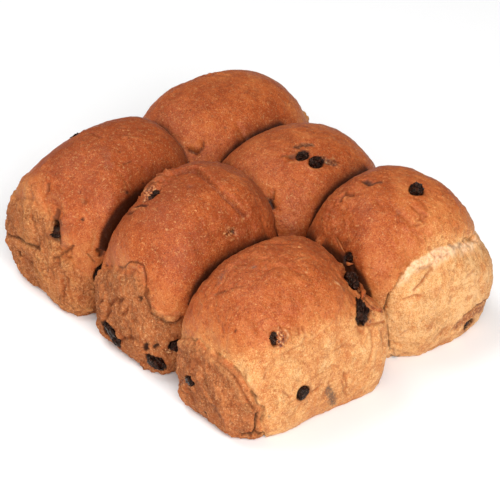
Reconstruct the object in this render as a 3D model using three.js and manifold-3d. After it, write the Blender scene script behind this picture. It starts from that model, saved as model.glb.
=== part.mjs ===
// A batch of fruit buns, baked side by side in two rows of three so that they have grown together.
// Millimetres, +Z up. X runs along a row, Y across the rows, and the origin is the middle of the underside.
import * as THREE from 'three';
import { mergeVertices } from 'three/addons/utils/BufferGeometryUtils.js';
import Module from 'manifold-3d';

const wasm = await Module();
wasm.setup();

// Clearance between neighbouring solids.
const GAP = 0.3;

// The dough: how square a bun is in plan at its rim and at its top, and the two powers of its crown.
const RIM_SQUARENESS = 3.5;
const TOP_SQUARENESS = 2.2;
const CROWN_POWER = 2.95;
const CROWN_ROOT = 1.82;

// A bun may be squarer than the rest at one corner of its wall: this power brings that in at the rim.
const CORNER_POWER = 8;

// The side wall of a bun: where it is torn it bulges out below the rim by the bun's lip, and it is
// rounded under to the floor.
const LIP_HEIGHT = 6;
const FOOT_INSET = 7;
const FOOT_HEIGHT = 21;

// The uneven rim of a torn wall: the height of its waves, and the waves round a bun.
const WAVE_HEIGHT = 0.8;
const LONG_WAVES = 5;
const SHORT_WAVES = 11;

// The seams between the buns, and the outer sides of the batch.
const seam = {
  leftFront: -24, rightFront: 38.5, leftBack: -41, rightBack: 25.5, left: -1.5, middle: -2.5, right: 0,
};
const side = { left: -99.5, right: 99.5, front: -81.5, back: 81.5 };

// The buns that stand back from the outer sides.
const frontLeftInset = 10.5;
const frontRowInset = 2;
const backRightInset = 8.5;
const backRowInset = 10;

// Each bun: its four sides in plan, the height of its top, how far its top leans off centre, the
// height of its rim at eight places from the right (+X) round by the back (+Y), and on each side how
// far its torn wall stands out beyond its crown. backRightSquare is what its back right corner adds to
// the squareness of its rim. Its hollows and its raisins sit at a turn, in degrees from +X, and on a
// ring: 0 is the top, 1 the rim and 2 the floor. A hollow is so deep, and fades away by its reach; one
// with a depth below zero is a swelling. A raisin's size is length, width and thickness, twist turns its
// length from the ring's direction, and sunk is the part of its thickness that lies below the crust.
const buns = [
  {
    name: 'bun_front_left',
    plan: {
      left: side.left + frontLeftInset, right: seam.leftFront,
      front: side.front + frontRowInset, back: seam.left,
    },
    top: 71.5, lean: [3, 9.5],
    rim: [32, 32.5, 39, 36, 42, 43.5, 51.5, 38],
    lip: { left: 7, right: 0, front: 4.5, back: 0 },
    hollows: [
      { turn: 224, ring: 0.8, reach: 18, depth: 1.5 },
      { turn: 328, ring: 0.88, reach: 14, depth: -3 },
      { turn: 238, ring: 1.4, reach: 14, depth: -2.3 },
      { turn: 268, ring: 1.9, reach: 12, depth: 1.8 },
    ],
    colour: '#b75b32',
    raisins: [
      { name: 'raisin_far_crown', turn: 209, ring: 0.67, size: [8, 6, 5], twist: 20, sunk: 0.65 },
      { name: 'raisin_left_pit', turn: 293, ring: 1.03, size: [10, 6, 5], twist: 70, sunk: 0.8 },
      { name: 'raisin_left_seam', turn: 323, ring: 1.33, size: [11, 6, 5], twist: 62, sunk: 0.35 },
      { name: 'raisin_left_wall', turn: 196, ring: 1.5, size: [9, 6, 5], twist: 30, sunk: 0.8 },
    ],
  },
  {
    name: 'bun_front_middle',
    plan: {
      left: seam.leftFront, right: seam.rightFront,
      front: side.front + frontRowInset, back: seam.middle,
    },
    top: 74.5, lean: [0, 7.5],
    rim: [32, 32.5, 41.5, 32.5, 32, 38, 48.5, 41],
    lip: { left: 0, right: 0, front: 3.5, back: 0 },
    hollows: [
      { turn: 216, ring: 0.92, reach: 20, depth: 4.5 },
      { turn: 243, ring: 1.0, reach: 7.5, depth: 3 },
      { turn: 242, ring: 1.75, reach: 12, depth: -1.3 },
    ],
    colour: '#d07647',
    raisins: [
      { name: 'raisin_torn_crown', turn: 241, ring: 0.54, size: [9, 5.5, 5], twist: 35, sunk: 0.8 },
      { name: 'raisin_long_wall', turn: 262, ring: 1.77, size: [14, 7, 4.5], twist: 134, sunk: 0.5 },
      { name: 'raisin_low_wall', turn: 302, ring: 1.8, size: [10, 7, 5], twist: 132, sunk: 0.6 },
      { name: 'raisin_low_seam', turn: 315, ring: 1.56, size: [6.5, 5, 4], twist: 40, sunk: 0.5 },
    ],
  },
  {
    name: 'bun_front_right',
    plan: { left: seam.rightFront, right: side.right, front: side.front, back: seam.right },
    top: 67.5, lean: [-3.5, 4],
    rim: [47.5, 40, 28.5, 32.5, 32, 32, 39, 42],
    lip: { left: 0, right: 1.5, front: 4, back: 0 },
    backRightSquare: 5,
    hollows: [
      { turn: 56, ring: 0.86, reach: 14, depth: 8 },
      { turn: 247, ring: 1.8, reach: 9, depth: -1.5 },
    ],
    colour: '#d47d4c',
    raisins: [
      { name: 'raisin_round_wall', turn: 342, ring: 1.55, size: [6.5, 6.5, 4], sunk: 0.6 },
      { name: 'raisin_right_pit', turn: 321, ring: 0.965, size: [6.5, 6, 4.5], sunk: 0.8 },
      { name: 'raisin_right_wall', turn: 259, ring: 1.48, size: [6, 4.5, 3.5], twist: 30, sunk: 0.65 },
      { name: 'raisin_upper_seam', turn: 63, ring: 0.83, size: [8, 7, 6], twist: 10, sunk: 0.2 },
      { name: 'raisin_big_seam', turn: 44, ring: 0.97, size: [12, 7.5, 6], twist: 60, sunk: 0.65 },
    ],
  },
  {
    name: 'bun_back_left',
    plan: { left: side.left, right: seam.leftBack, front: seam.left, back: side.back },
    top: 62, lean: [-5, -3],
    rim: [35.5, 34, 42, 42, 42, 36, 39, 32.5],
    lip: { left: 2, right: 0, front: 0, back: 2 },
    hollows: [
      { turn: 226, ring: 0.75, reach: 16, depth: -1.1 },
      { turn: 76, ring: 0.8, reach: 16, depth: -1.1 },
    ],
    colour: '#b8572c',
    raisins: [
      { name: 'raisin_corner_wall', turn: 197, ring: 1.45, size: [9, 6.5, 5.5], twist: 50, sunk: 0.7 },
      { name: 'raisin_corner_low', turn: 74, ring: 1.6, size: [8, 6, 5.5], twist: 20, sunk: 0.7 },
    ],
  },
  {
    name: 'bun_back_middle',
    plan: {
      left: seam.leftBack, right: seam.rightBack, front: seam.middle, back: side.back - backRowInset,
    },
    top: 65, lean: [-0.5, -1],
    rim: [36, 34, 42, 34, 35.5, 32.5, 41.5, 32.5],
    lip: { left: 0, right: 0, front: 0, back: 2.5 },
    colour: '#b9673e',
    raisins: [
      { name: 'raisin_back_crown', turn: 332, ring: 0.41, size: [6.5, 5, 4.5], twist: 30, sunk: 0.65 },
      { name: 'raisin_back_fold', turn: 349, ring: 0.56, size: [7.5, 6, 5], twist: 10, sunk: 0.65 },
      { name: 'raisin_back_wall', turn: 96, ring: 1.45, size: [9, 7, 5.5], twist: 30, sunk: 0.7 },
    ],
  },
  {
    name: 'bun_back_right',
    plan: {
      left: seam.rightBack, right: side.right - backRightInset,
      front: seam.right, back: side.back - backRowInset,
    },
    top: 71, lean: [-4.5, 0.5],
    rim: [51.5, 47.5, 43.5, 36, 36, 32.5, 28.5, 31.5],
    lip: { left: 0, right: 5, front: 0, back: 5 },
    hollows: [
      { turn: 56, ring: 0.9, reach: 14, depth: 1 },
      { turn: 306, ring: 0.93, reach: 13, depth: -5 },
      { turn: 49, ring: 1.5, reach: 12, depth: -2 },
    ],
    colour: '#cf7647',
    raisins: [
      { name: 'raisin_top', turn: 23, ring: 0.41, size: [7.5, 6, 5], twist: 20, sunk: 0.5 },
      { name: 'raisin_small_seam', turn: 282, ring: 0.9, size: [5.5, 4.5, 4], sunk: 0.65 },
      { name: 'raisin_low_corner', turn: 26, ring: 1.82, size: [6, 6, 5], sunk: 0.5 },
    ],
  },
];

// How much a raisin is squeezed.
const RAISIN_SQUEEZE = 0.12;

// Rings of the mesh over the crown and down the wall, and its columns round the bun.
const CROWN_RINGS = [0.24, 0.44, 0.61, 0.75, 0.86, 0.94, 1];
const WALL_RINGS = [1.05, 1.15, 1.35, 1.6, 1.8, 1.93, 2];
const COLUMNS = 36;

// Half sizes of a bun in plan, with the clearance to its neighbours taken off.
function halfSizes({ plan }) {
  return [(plan.right - plan.left - GAP) / 2, (plan.back - plan.front - GAP) / 2];
}

// A value that belongs to each side of a bun, blended round its corners.
function blendSides(sides, across, along) {
  const weight = across ** 4 / (across ** 4 + along ** 4);
  const acrossValue = across > 0 ? sides.right : sides.left;
  const alongValue = along > 0 ? sides.back : sides.front;
  return weight * acrossValue + (1 - weight) * alongValue;
}

// A smooth closed curve through values that are evenly spaced round a bun, read at an angle.
function roundCurve(values, angle) {
  const count = values.length;
  const place = ((angle / (2 * Math.PI) + 1) % 1) * count;
  const first = Math.floor(place);
  const t = place - first;
  const value = (step) => values[(first + step + count) % count];
  const slope = value(1) - value(-1);
  const bend = 2 * value(-1) - 5 * value(0) + 4 * value(1) - value(2);
  const twist = -value(-1) + 3 * value(0) - 3 * value(1) + value(2);
  return (2 * value(0) + slope * t + bend * t ** 2 + twist * t ** 3) / 2;
}

// The point of a bun's plain skin at a turn (radians) and a ring. The crown is a superellipse raised
// over the rim, and the wall falls from the rim, bulges out by its lip, and rounds under to the floor.
function plainPoint(bun, turn, ring) {
  const [halfX, halfY] = halfSizes(bun);
  const across = Math.cos(turn) / halfX;
  const along = Math.sin(turn) / halfY;
  const onCrown = Math.min(ring, 1);
  const corner = across > 0 && along > 0 ? bun.backRightSquare ?? 0 : 0;
  const squareness = TOP_SQUARENESS + (RIM_SQUARENESS - TOP_SQUARENESS) * onCrown ** 2
    + corner * onCrown ** CORNER_POWER;
  const outline = (Math.abs(across) ** squareness + Math.abs(along) ** squareness) ** (-1 / squareness);

  const lip = blendSides(bun.lip, across, along);
  const wave = Math.sin(LONG_WAVES * turn + bun.top) + Math.sin(SHORT_WAVES * turn + 2 * bun.top) / 2;
  const rim = roundCurve(bun.rim, Math.atan2(along, across)) + (lip > 1 ? WAVE_HEIGHT * wave : 0);

  let radius = (outline - lip) * onCrown;
  let height = rim + (bun.top - rim) * (1 - onCrown ** CROWN_POWER) ** (1 / CROWN_ROOT);
  if (ring > 1) {
    height = rim * (2 - ring);
    const underFoot = Math.max(0, 1 - height / FOOT_HEIGHT);
    const underLip = Math.max(0, 1 - (rim - height) / LIP_HEIGHT);
    radius = outline - FOOT_INSET * (1 - Math.sqrt(1 - underFoot ** 2)) - lip * underLip ** 2;
  }
  const lean = 1 - onCrown ** 2;
  return new THREE.Vector3(
    (bun.plan.left + bun.plan.right) / 2 + radius * Math.cos(turn) + lean * bun.lean[0],
    (bun.plan.front + bun.plan.back) / 2 + radius * Math.sin(turn) + lean * bun.lean[1],
    height,
  );
}

// The unit vectors out of a skin and round it, at a place given by a turn in degrees and a ring.
function skinDirections(pointAt, bun, { turn, ring }) {
  const turned = THREE.MathUtils.degToRad(turn);
  const nudge = 0.01;
  const down = pointAt(bun, turned, ring + nudge).sub(pointAt(bun, turned, ring - nudge));
  const round = pointAt(bun, turned + nudge, ring).sub(pointAt(bun, turned - nudge, ring));
  const outward = down.cross(round).normalize();
  return { outward, round: round.normalize() };
}

// The point of a bun's skin at a turn and a ring: the plain one, pushed in at the bun's hollows. A wall
// is pushed level.
function skinPoint(bun, turn, ring) {
  const plain = plainPoint(bun, turn, ring);
  const point = plain.clone();
  for (const hollow of bun.hollows ?? []) {
    const { outward } = skinDirections(plainPoint, bun, hollow);
    if (hollow.ring > 1) outward.setZ(0);
    const middle = plainPoint(bun, THREE.MathUtils.degToRad(hollow.turn), hollow.ring);
    const share = Math.exp(-((plain.distanceTo(middle) / hollow.reach) ** 2));
    point.addScaledVector(outward, -hollow.depth * share);
  }
  point.z = Math.max(0, point.z);
  return point;
}

// The skin as a closed mesh: a fan at the top, bands between the rings, and a fan on the floor.
function bunGeometry(bun) {
  const [halfX, halfY] = halfSizes(bun);
  const rings = [...CROWN_RINGS, ...WALL_RINGS];
  const points = [skinPoint(bun, 0, 0)];
  for (const ring of rings) {
    for (let column = 0; column < COLUMNS; column += 1) {
      const step = (2 * Math.PI * column) / COLUMNS;
      const turn = Math.atan2(halfY * Math.sin(step), halfX * Math.cos(step));
      points.push(skinPoint(bun, turn, ring));
    }
  }
  const floorCentre = points.length;
  points.push(new THREE.Vector3(points[0].x, points[0].y, 0));

  const faces = [];
  for (let column = 0; column < COLUMNS; column += 1) {
    const next = (column + 1) % COLUMNS;
    faces.push(0, 1 + column, 1 + next);
    for (let band = 0; band < rings.length - 1; band += 1) {
      const upper = 1 + band * COLUMNS;
      const lower = upper + COLUMNS;
      faces.push(upper + column, lower + column, lower + next);
      faces.push(upper + column, lower + next, upper + next);
    }
    const last = 1 + (rings.length - 1) * COLUMNS;
    faces.push(last + column, floorCentre, last + next);
  }
  const geometry = new THREE.BufferGeometry().setFromPoints(points);
  geometry.setIndex(faces);
  return geometry;
}

// A raisin, or with a clearance the pocket that it sits in: a lumpy ellipsoid laid on the skin.
function raisinGeometry(bun, raisin, clearance = 0) {
  const { turn, ring, size, twist = 0, sunk } = raisin;
  const lump = new THREE.IcosahedronGeometry(1, 1);
  const corner = new THREE.Vector3();
  const position = lump.getAttribute('position');
  for (let i = 0; i < position.count; i += 1) {
    corner.fromBufferAttribute(position, i);
    const squeeze = 1 - RAISIN_SQUEEZE * Math.sin(3 * corner.x + 2 * corner.y + turn) ** 2;
    corner.multiplyScalar(squeeze);
    position.setXYZ(i, corner.x, corner.y, corner.z);
  }
  lump.scale(...size.map((whole) => whole / 2 + clearance));

  const { outward, round } = skinDirections(skinPoint, bun, raisin);
  round.applyAxisAngle(outward, THREE.MathUtils.degToRad(twist));
  const frame = new THREE.Matrix4().makeBasis(round, outward.clone().cross(round), outward);
  const seat = skinPoint(bun, THREE.MathUtils.degToRad(turn), ring);
  frame.setPosition(seat.addScaledVector(outward, size[2] * (0.5 - sunk)));
  return lump.applyMatrix4(frame);
}

// Between three.js geometry and manifold-3d solids.
function solidOf(geometry) {
  geometry.deleteAttribute('normal');
  geometry.deleteAttribute('uv');
  const merged = mergeVertices(geometry);
  return new wasm.Manifold(new wasm.Mesh({
    numProp: 3,
    vertProperties: merged.getAttribute('position').array,
    triVerts: new Uint32Array(merged.index.array),
  }));
}

function geometryOf(solid) {
  const { vertProperties, triVerts } = solid.getMesh();
  const geometry = new THREE.BufferGeometry();
  geometry.setAttribute('position', new THREE.BufferAttribute(vertProperties, 3));
  geometry.setIndex(new THREE.BufferAttribute(triVerts, 1));
  geometry.computeVertexNormals();
  return geometry;
}

function piece(name, solid, material) {
  const mesh = new THREE.Mesh(geometryOf(solid), material);
  mesh.name = name;
  return mesh;
}

const raisinSkin = new THREE.MeshStandardMaterial({ color: '#1f1714', roughness: 0.45, metalness: 0 });
const placed = buns.flatMap((bun) => bun.raisins.map((raisin) => [bun, raisin]));
const pockets = placed.map(([bun, raisin]) => solidOf(raisinGeometry(bun, raisin, GAP)));

const batch = new THREE.Group();
for (const bun of buns) {
  const crust = new THREE.MeshStandardMaterial({ color: bun.colour, roughness: 0.6, metalness: 0 });
  const dough = pockets.reduce((solid, pocket) => solid.subtract(pocket), solidOf(bunGeometry(bun)));
  batch.add(piece(bun.name, dough, crust));
}
for (const [bun, raisin] of placed) {
  batch.add(piece(raisin.name, solidOf(raisinGeometry(bun, raisin)), raisinSkin));
}

export default batch;
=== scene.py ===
"""A pull-apart batch of fruit buns: six domed buns grown together, with raisins, on a pale table."""
import math

import bpy
import numpy as np
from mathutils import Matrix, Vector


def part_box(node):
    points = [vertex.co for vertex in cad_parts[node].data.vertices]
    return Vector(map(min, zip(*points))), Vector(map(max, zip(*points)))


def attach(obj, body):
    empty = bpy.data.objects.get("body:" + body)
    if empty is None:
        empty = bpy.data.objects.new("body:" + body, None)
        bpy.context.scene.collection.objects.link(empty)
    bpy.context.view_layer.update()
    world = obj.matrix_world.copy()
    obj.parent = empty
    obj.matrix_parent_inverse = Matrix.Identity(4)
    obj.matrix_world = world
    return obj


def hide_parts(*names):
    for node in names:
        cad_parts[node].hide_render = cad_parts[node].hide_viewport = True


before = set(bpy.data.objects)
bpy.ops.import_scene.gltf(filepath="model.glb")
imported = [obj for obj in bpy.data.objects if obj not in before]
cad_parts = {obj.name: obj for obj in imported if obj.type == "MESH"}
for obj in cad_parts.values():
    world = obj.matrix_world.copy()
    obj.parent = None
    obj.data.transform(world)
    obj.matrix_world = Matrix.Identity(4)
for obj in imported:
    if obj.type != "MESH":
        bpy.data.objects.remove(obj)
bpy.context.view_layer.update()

MM = 0.001


# ---------------------------------------------------------------- the buns' own sizes, in millimetres

# The powers that shape a crown, and the rounding of a wall, as the solids have them.
RIM_SQUARENESS = 3.5
TOP_SQUARENESS = 2.2
CROWN_POWER = 2.95
CROWN_ROOT = 1.82
CORNER_POWER = 8
FOOT_INSET = 7.0
FOOT_HEIGHT = 21.0

# How far the walls that have grown together run into each other.
GROWN = 0.6

# A height that is lower than anything on the table.
UNDER_FLOOR = -30.0

# Rim heights are given at eight places, from a bun's right side anticlockwise. lip is how far the
# torn wall stands proud on each side, lean how far the top is off centre, and bake how brown it is.
# Just over a torn wall the crust is paler by the share paling, which fades out over the height fade.
# wrinkled is how strong its wrinkles are, and back_right_square how much squarer that corner is.
# A hollow is (turn in degrees, ring, reach, depth), and a swelling when its depth is below zero.
# USUAL_BUN is what a bun has unless it says otherwise.
USUAL_BUN = dict(fade=11, paling=0.65, wrinkled=1, back_right_square=0, hollows=())
BUNS = {
    "bun_front_left": dict(
        rim=(32, 32.5, 39, 36, 42, 43.5, 51.5, 38), lean=(3, 9.5), bake=1.0, fade=7, paling=0.4,
        lip=dict(left=7, right=0, front=4.5, back=0),
        hollows=((224, 0.8, 18, 1.5), (328, 0.88, 14, -3), (238, 1.4, 14, -2.3), (268, 1.9, 12, 1.8),
                 (312, 1.9, 9, -3.5))),
    "bun_front_middle": dict(
        rim=(32, 32.5, 41.5, 32.5, 32, 38, 48.5, 41), lean=(0, 7.5), bake=1.0, fade=8, paling=0.35,
        lip=dict(left=0, right=0, front=3.5, back=0),
        hollows=((216, 0.92, 20, 4.5), (243, 1.0, 7.5, 3), (242, 1.75, 12, -1.3))),
    "bun_front_right": dict(
        rim=(47.5, 40, 28.5, 32.5, 32, 32, 39, 42), lean=(-3.5, 4), bake=0.92, wrinkled=1.7,
        lip=dict(left=0, right=1.5, front=4, back=0), back_right_square=5,
        hollows=((56, 0.86, 14, 8), (247, 1.8, 9, -1.5))),
    "bun_back_left": dict(
        rim=(35.5, 34, 42, 42, 42, 36, 39, 32.5), lean=(-5, -3), bake=0.89,
        lip=dict(left=2, right=0, front=0, back=2),
        hollows=((226, 0.75, 16, -1.1), (76, 0.8, 16, -1.1))),
    "bun_back_middle": dict(
        rim=(36, 34, 42, 34, 35.5, 32.5, 41.5, 32.5), lean=(-0.5, -1), bake=0.87,
        lip=dict(left=0, right=0, front=0, back=2.5)),
    "bun_back_right": dict(
        rim=(51.5, 47.5, 43.5, 36, 36, 32.5, 28.5, 31.5), lean=(-4.5, 0.5), bake=0.92, wrinkled=1.4,
        lip=dict(left=0, right=5, front=0, back=5), fade=18, paling=0.78,
        hollows=((56, 0.9, 14, 1), (306, 0.93, 13, -5), (49, 1.5, 12, -2))),
}


# ---------------------------------------------------------------- numbers: noise and blends

def smooth(low, high, value):
    """The smooth-step from 0 at low to 1 at high; low may be the greater."""
    t = np.clip((value - low) / (high - low), 0, 1)
    return t * t * (3 - 2 * t)


def bell(value):
    """A bell curve: 1 at zero, and almost gone at 2 on either side."""
    return np.exp(-value**2)


def corner_value(cell, seed):
    """A random value between -1 and 1 for each whole-numbered cell, by mixing the bits of its numbers."""
    with np.errstate(over="ignore"):
        mixed_bits = (cell[..., 0].astype(np.uint32) * np.uint32(73856093)
                      ^ cell[..., 1].astype(np.uint32) * np.uint32(19349663)
                      ^ cell[..., 2].astype(np.uint32) * np.uint32(83492791)
                      ^ np.uint32(seed * 2654435761 % 2**32))
        mixed_bits ^= mixed_bits >> np.uint32(15)
        mixed_bits *= np.uint32(2246822519)
        mixed_bits ^= mixed_bits >> np.uint32(13)
        mixed_bits *= np.uint32(3266489917)
        mixed_bits ^= mixed_bits >> np.uint32(16)
    return mixed_bits.astype(np.float64) / 2**31 - 1


def noise(points, size, seed):
    """Soft lumps about `size` across: random corner values of a cubic lattice, blended by the smooth-step."""
    place = points / size
    cell = np.floor(place).astype(np.int64)
    part = place - cell
    part = part * part * (3 - 2 * part)
    total = 0
    for dx in (0, 1):
        for dy in (0, 1):
            for dz in (0, 1):
                weight = (np.abs(1 - dx - part[..., 0]) * np.abs(1 - dy - part[..., 1])
                          * np.abs(1 - dz - part[..., 2]))
                total = total + weight * corner_value(cell + (dx, dy, dz), seed)
    return total


def noises(points, seed, *parts):
    """A sum of noises, each given by its strength, its size and a seed of its own to add."""
    return sum(strength * noise(points, size, seed + own) for strength, size, own in parts)


def layered(points, size, seed, layers, keep):
    """Noise in layers, each half the size of the last and `keep` as strong."""
    total, strength = 0, 1.0
    for layer in range(layers):
        total = total + strength * noise(points, size / 2**layer, seed + layer)
        strength *= keep
    return total


def stepped(value, steps):
    """A value laid in soft-edged terraces, `steps` of them to each 1."""
    raised = value * steps
    floor = np.floor(raised)
    return (floor + smooth(0.3, 0.7, raised - floor)) / steps


def pits(points, size, seed, radius):
    """Round holes: one at a random place in each cell of a lattice, 1 at its middle and 0 past `radius`
    (a share of the cell)."""
    place = points / size
    cell = np.floor(place).astype(np.int64)
    deepest = np.zeros(len(points))
    for dx in (-1, 0, 1):
        for dy in (-1, 0, 1):
            for dz in (-1, 0, 1):
                near = cell + (dx, dy, dz)
                middle = near + 0.5 + 0.5 * np.stack(
                    [corner_value(near, seed + k) for k in range(3)], axis=-1)
                reach = radius * (0.4 + 0.6 * np.abs(corner_value(near, seed + 3)))
                gap = np.linalg.norm(place - middle, axis=-1)
                deepest = np.maximum(deepest, 1 - smooth(0.35 * reach, reach, gap))
    return deepest


def round_curve(values, turn):
    """A smooth curve through values given at equal turns, closed on itself (Catmull-Rom)."""
    values = np.asarray(values, float)
    place = turn / (2 * np.pi) * len(values)
    start = np.floor(place).astype(int)
    part = place - start
    before, here, there, after = (values[(start + step) % len(values)] for step in (-1, 0, 1, 2))
    return here + 0.5 * part * (
        there - before + part * (2 * before - 5 * here + 4 * there - after
                                 + part * (3 * (here - there) + after - before)))


def blend_sides(sides, across, along):
    """A value of each side of a bun, blended round its corners by the fourth powers of the direction."""
    weight = across**4 / (across**4 + along**4)
    across_value = np.where(across > 0, sides["right"], sides["left"])
    along_value = np.where(along > 0, sides["back"], sides["front"])
    return weight * across_value + (1 - weight) * along_value


def piece_distance(points, start, end):
    """Each point's distance from a straight piece between two points."""
    reach = end - start
    share = np.clip(((points - start) @ reach) / (reach @ reach), 0, 1)
    return np.linalg.norm(points - start - share[:, None] * reach, axis=1)


def path_distance(points, path):
    """Each point's distance from a path of straight pieces."""
    nearest = np.linalg.norm(points - path[0], axis=1)
    for start, end in zip(path, path[1:]):
        nearest = np.minimum(nearest, piece_distance(points, start, end))
    return nearest


def depth_inside(place, border):
    """How far inside a closed flat border each place is, and below zero outside it."""
    nearest = np.full(len(place), np.inf)
    inside = np.zeros(len(place), bool)
    for start, end in zip(border, np.roll(border, -1, 0)):
        nearest = np.minimum(nearest, piece_distance(place, start, end))
        crosses = (start[1] > place[:, 1]) != (end[1] > place[:, 1])
        rise = np.where(end[1] == start[1], 1, end[1] - start[1])
        run = (place[:, 1] - start[1]) / rise * (end[0] - start[0])
        inside ^= crosses & (place[:, 0] < start[0] + run)
    return np.where(inside, nearest, -nearest)


# ---------------------------------------------------------------- the plain skin of a bun

class Bun:
    """A bun's plan, top and rim, and its skin as a function of a turn and a ring."""

    def __init__(self, name, seed):
        low, high = (np.array(corner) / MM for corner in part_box(name))
        self.name, self.seed = name, seed
        self.middle = (low + high)[:2] / 2
        self.half = (high - low)[:2] / 2
        self.top = high[2]
        self.traits = {**USUAL_BUN, **BUNS[name]}
        self.hollows = [
            (self.plain_place(turn, ring), self.outward(turn, ring), reach, depth)
            for turn, ring, reach, depth in self.traits["hollows"]]
        self.measure_girth()

    def measure_girth(self):
        """Lays out how far round the wall each turn is, over three full turns at a ring on the wall."""
        wall_ring = 1.3
        self.turns = np.radians(np.arange(-360, 721, 1.0))
        outline = self.skin(self.turns, np.full(len(self.turns), wall_ring))
        steps = np.linalg.norm(np.diff(outline[:, :2], axis=0), axis=1)
        self.lengths = np.concatenate([[0], np.cumsum(steps)])

    def directions(self, turn):
        """How far a turn points across and along, in halves of the bun."""
        return np.cos(turn) / self.half[0], np.sin(turn) / self.half[1]

    def lip(self, turn):
        """How far the torn wall stands out beyond the crown at a turn."""
        return blend_sides(self.traits["lip"], *self.directions(turn))

    def rim(self, turn):
        """How high the crown begins at a turn."""
        across, along = self.directions(turn)
        return round_curve(self.traits["rim"], np.arctan2(along, across))

    def crown_height(self, rim, ring):
        """How high the crown is at a ring, over a rim."""
        return rim + (self.top - rim) * (1 - ring**CROWN_POWER)**(1 / CROWN_ROOT)

    def crown_over(self, place):
        """How high the crown stands over each (x, y) place, and far below zero outside the bun. The lean
        is taken off in two passes, each with the ring that the last one found."""
        level = place
        for _ in range(2):
            across, along = ((level - self.middle) / self.half).T
            ring = (np.abs(across)**RIM_SQUARENESS + np.abs(along)**RIM_SQUARENESS)**(1 / RIM_SQUARENESS)
            level = place - np.array(self.traits["lean"]) * np.clip(1 - ring**2, 0, 1)[:, None]
        rim = round_curve(self.traits["rim"], np.arctan2(along, across))
        return np.where(ring < 1, self.crown_height(rim, np.clip(ring, 0, 1)), UNDER_FLOOR)

    def plain_skin(self, turn, ring):
        """Points at a turn and a ring: 0 is the top, 1 the rim, 2 the edge of the floor and 3 its middle.
        The crown is a superellipse raised over the rim, and the wall drops from the rim and rounds under
        to the floor. It has no lip yet: torn walls are pushed out to theirs afterwards."""
        across, along = self.directions(turn)
        on_crown = np.clip(ring, 0, 1)
        corner = np.where((across > 0) & (along > 0), self.traits["back_right_square"], 0)
        squareness = (TOP_SQUARENESS + (RIM_SQUARENESS - TOP_SQUARENESS) * on_crown**2
                      + corner * on_crown**CORNER_POWER)
        outline = (np.abs(across)**squareness + np.abs(along)**squareness)**(-1 / squareness)
        rim, lip = self.rim(turn), self.lip(turn)
        outline = outline - lip + GROWN * np.clip(1 - lip, 0, 1) * smooth(0.9, 1, on_crown)

        wall_height = rim * np.clip(2 - ring, 0, 1)
        under_foot = np.clip(1 - wall_height / FOOT_HEIGHT, 0, 1)
        wall_radius = (outline - FOOT_INSET * (1 - np.sqrt(1 - under_foot**2))) * np.clip(3 - ring, 0, 1)
        radius = np.where(ring <= 1, outline * on_crown, wall_radius)
        lean = 1 - on_crown**2
        return np.stack([
            self.middle[0] + radius * np.cos(turn) + lean * self.traits["lean"][0],
            self.middle[1] + radius * np.sin(turn) + lean * self.traits["lean"][1],
            np.where(ring <= 1, self.crown_height(rim, on_crown), wall_height)], axis=-1)

    def plain_place(self, turn_degrees, ring):
        """One point of the plain skin, at a turn in degrees and a ring."""
        return self.plain_skin(np.radians(np.array([turn_degrees])), np.array([float(ring)]))[0]

    def outward(self, turn_degrees, ring):
        """The unit vector out of the plain skin at a place, kept level on a wall."""
        nudge, ring_nudge = 0.5, 0.01
        down = (self.plain_place(turn_degrees, ring + ring_nudge)
                - self.plain_place(turn_degrees, ring - ring_nudge))
        along = self.plain_place(turn_degrees + nudge, ring) - self.plain_place(turn_degrees - nudge, ring)
        outward = np.cross(down, along)
        if ring > 1:
            outward[2] = 0
        return outward / np.linalg.norm(outward)

    def skin(self, turn, ring):
        """The plain skin, pushed in at each hollow by its depth, which fades with the distance in reaches
        by a bell curve."""
        plain = self.plain_skin(turn, ring)
        points = plain.copy()
        for middle, outward, reach, depth in self.hollows:
            share = bell(np.linalg.norm(plain - middle, axis=-1) / reach)
            points -= outward * (depth * share)[:, None]
        points[:, 2] = np.maximum(points[:, 2], 0)
        return points

    def place(self, turn_degrees, ring):
        """One point of the skin, at a turn in degrees and a ring."""
        return self.skin(np.radians(np.array([turn_degrees])), np.array([float(ring)]))[0]

    def below_edge(self, turn, height, edge):
        """How far inside a torn patch a place on the wall is, in millimetres, and below zero outside it.
        The patch reaches from its edge, a path of (turn in degrees, height), down past the floor."""
        edge = np.array(edge, float)
        middle = np.radians((edge[0, 0] + edge[-1, 0]) / 2)
        near_turn = middle + (turn - middle + np.pi) % (2 * np.pi) - np.pi
        place = np.stack([np.interp(near_turn, self.turns, self.lengths), height], -1)
        border = np.stack([np.interp(np.radians(edge[:, 0]), self.turns, self.lengths), edge[:, 1]], -1)
        below = [[border[-1, 0], UNDER_FLOOR], [border[0, 0], UNDER_FLOOR]]
        return depth_inside(place, np.vstack([border, below]))


# ---------------------------------------------------------------- meshes

# The crown is a square patch so many cells across, and bands of faces make the wall and the floor.
# WALL_CROWDING is a power: above 1, it crowds the wall's bands towards the floor.
PATCH = 160
WALL_BANDS = 80
FLOOR_BANDS = 6
WALL_CROWDING = 1.35


def loop_quads(loops):
    """The faces between closed loops of vertices, one row to each loop."""
    upper, lower = loops[:-1], loops[1:]
    return np.stack([upper, lower, np.roll(lower, -1, 1), np.roll(upper, -1, 1)], -1).reshape(-1, 4)


def loop_fan(loop, tip):
    """The triangles between a closed loop of vertices and the one at its tip."""
    return np.stack([loop, np.full(len(loop), tip), np.roll(loop, -1)], -1)


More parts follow.
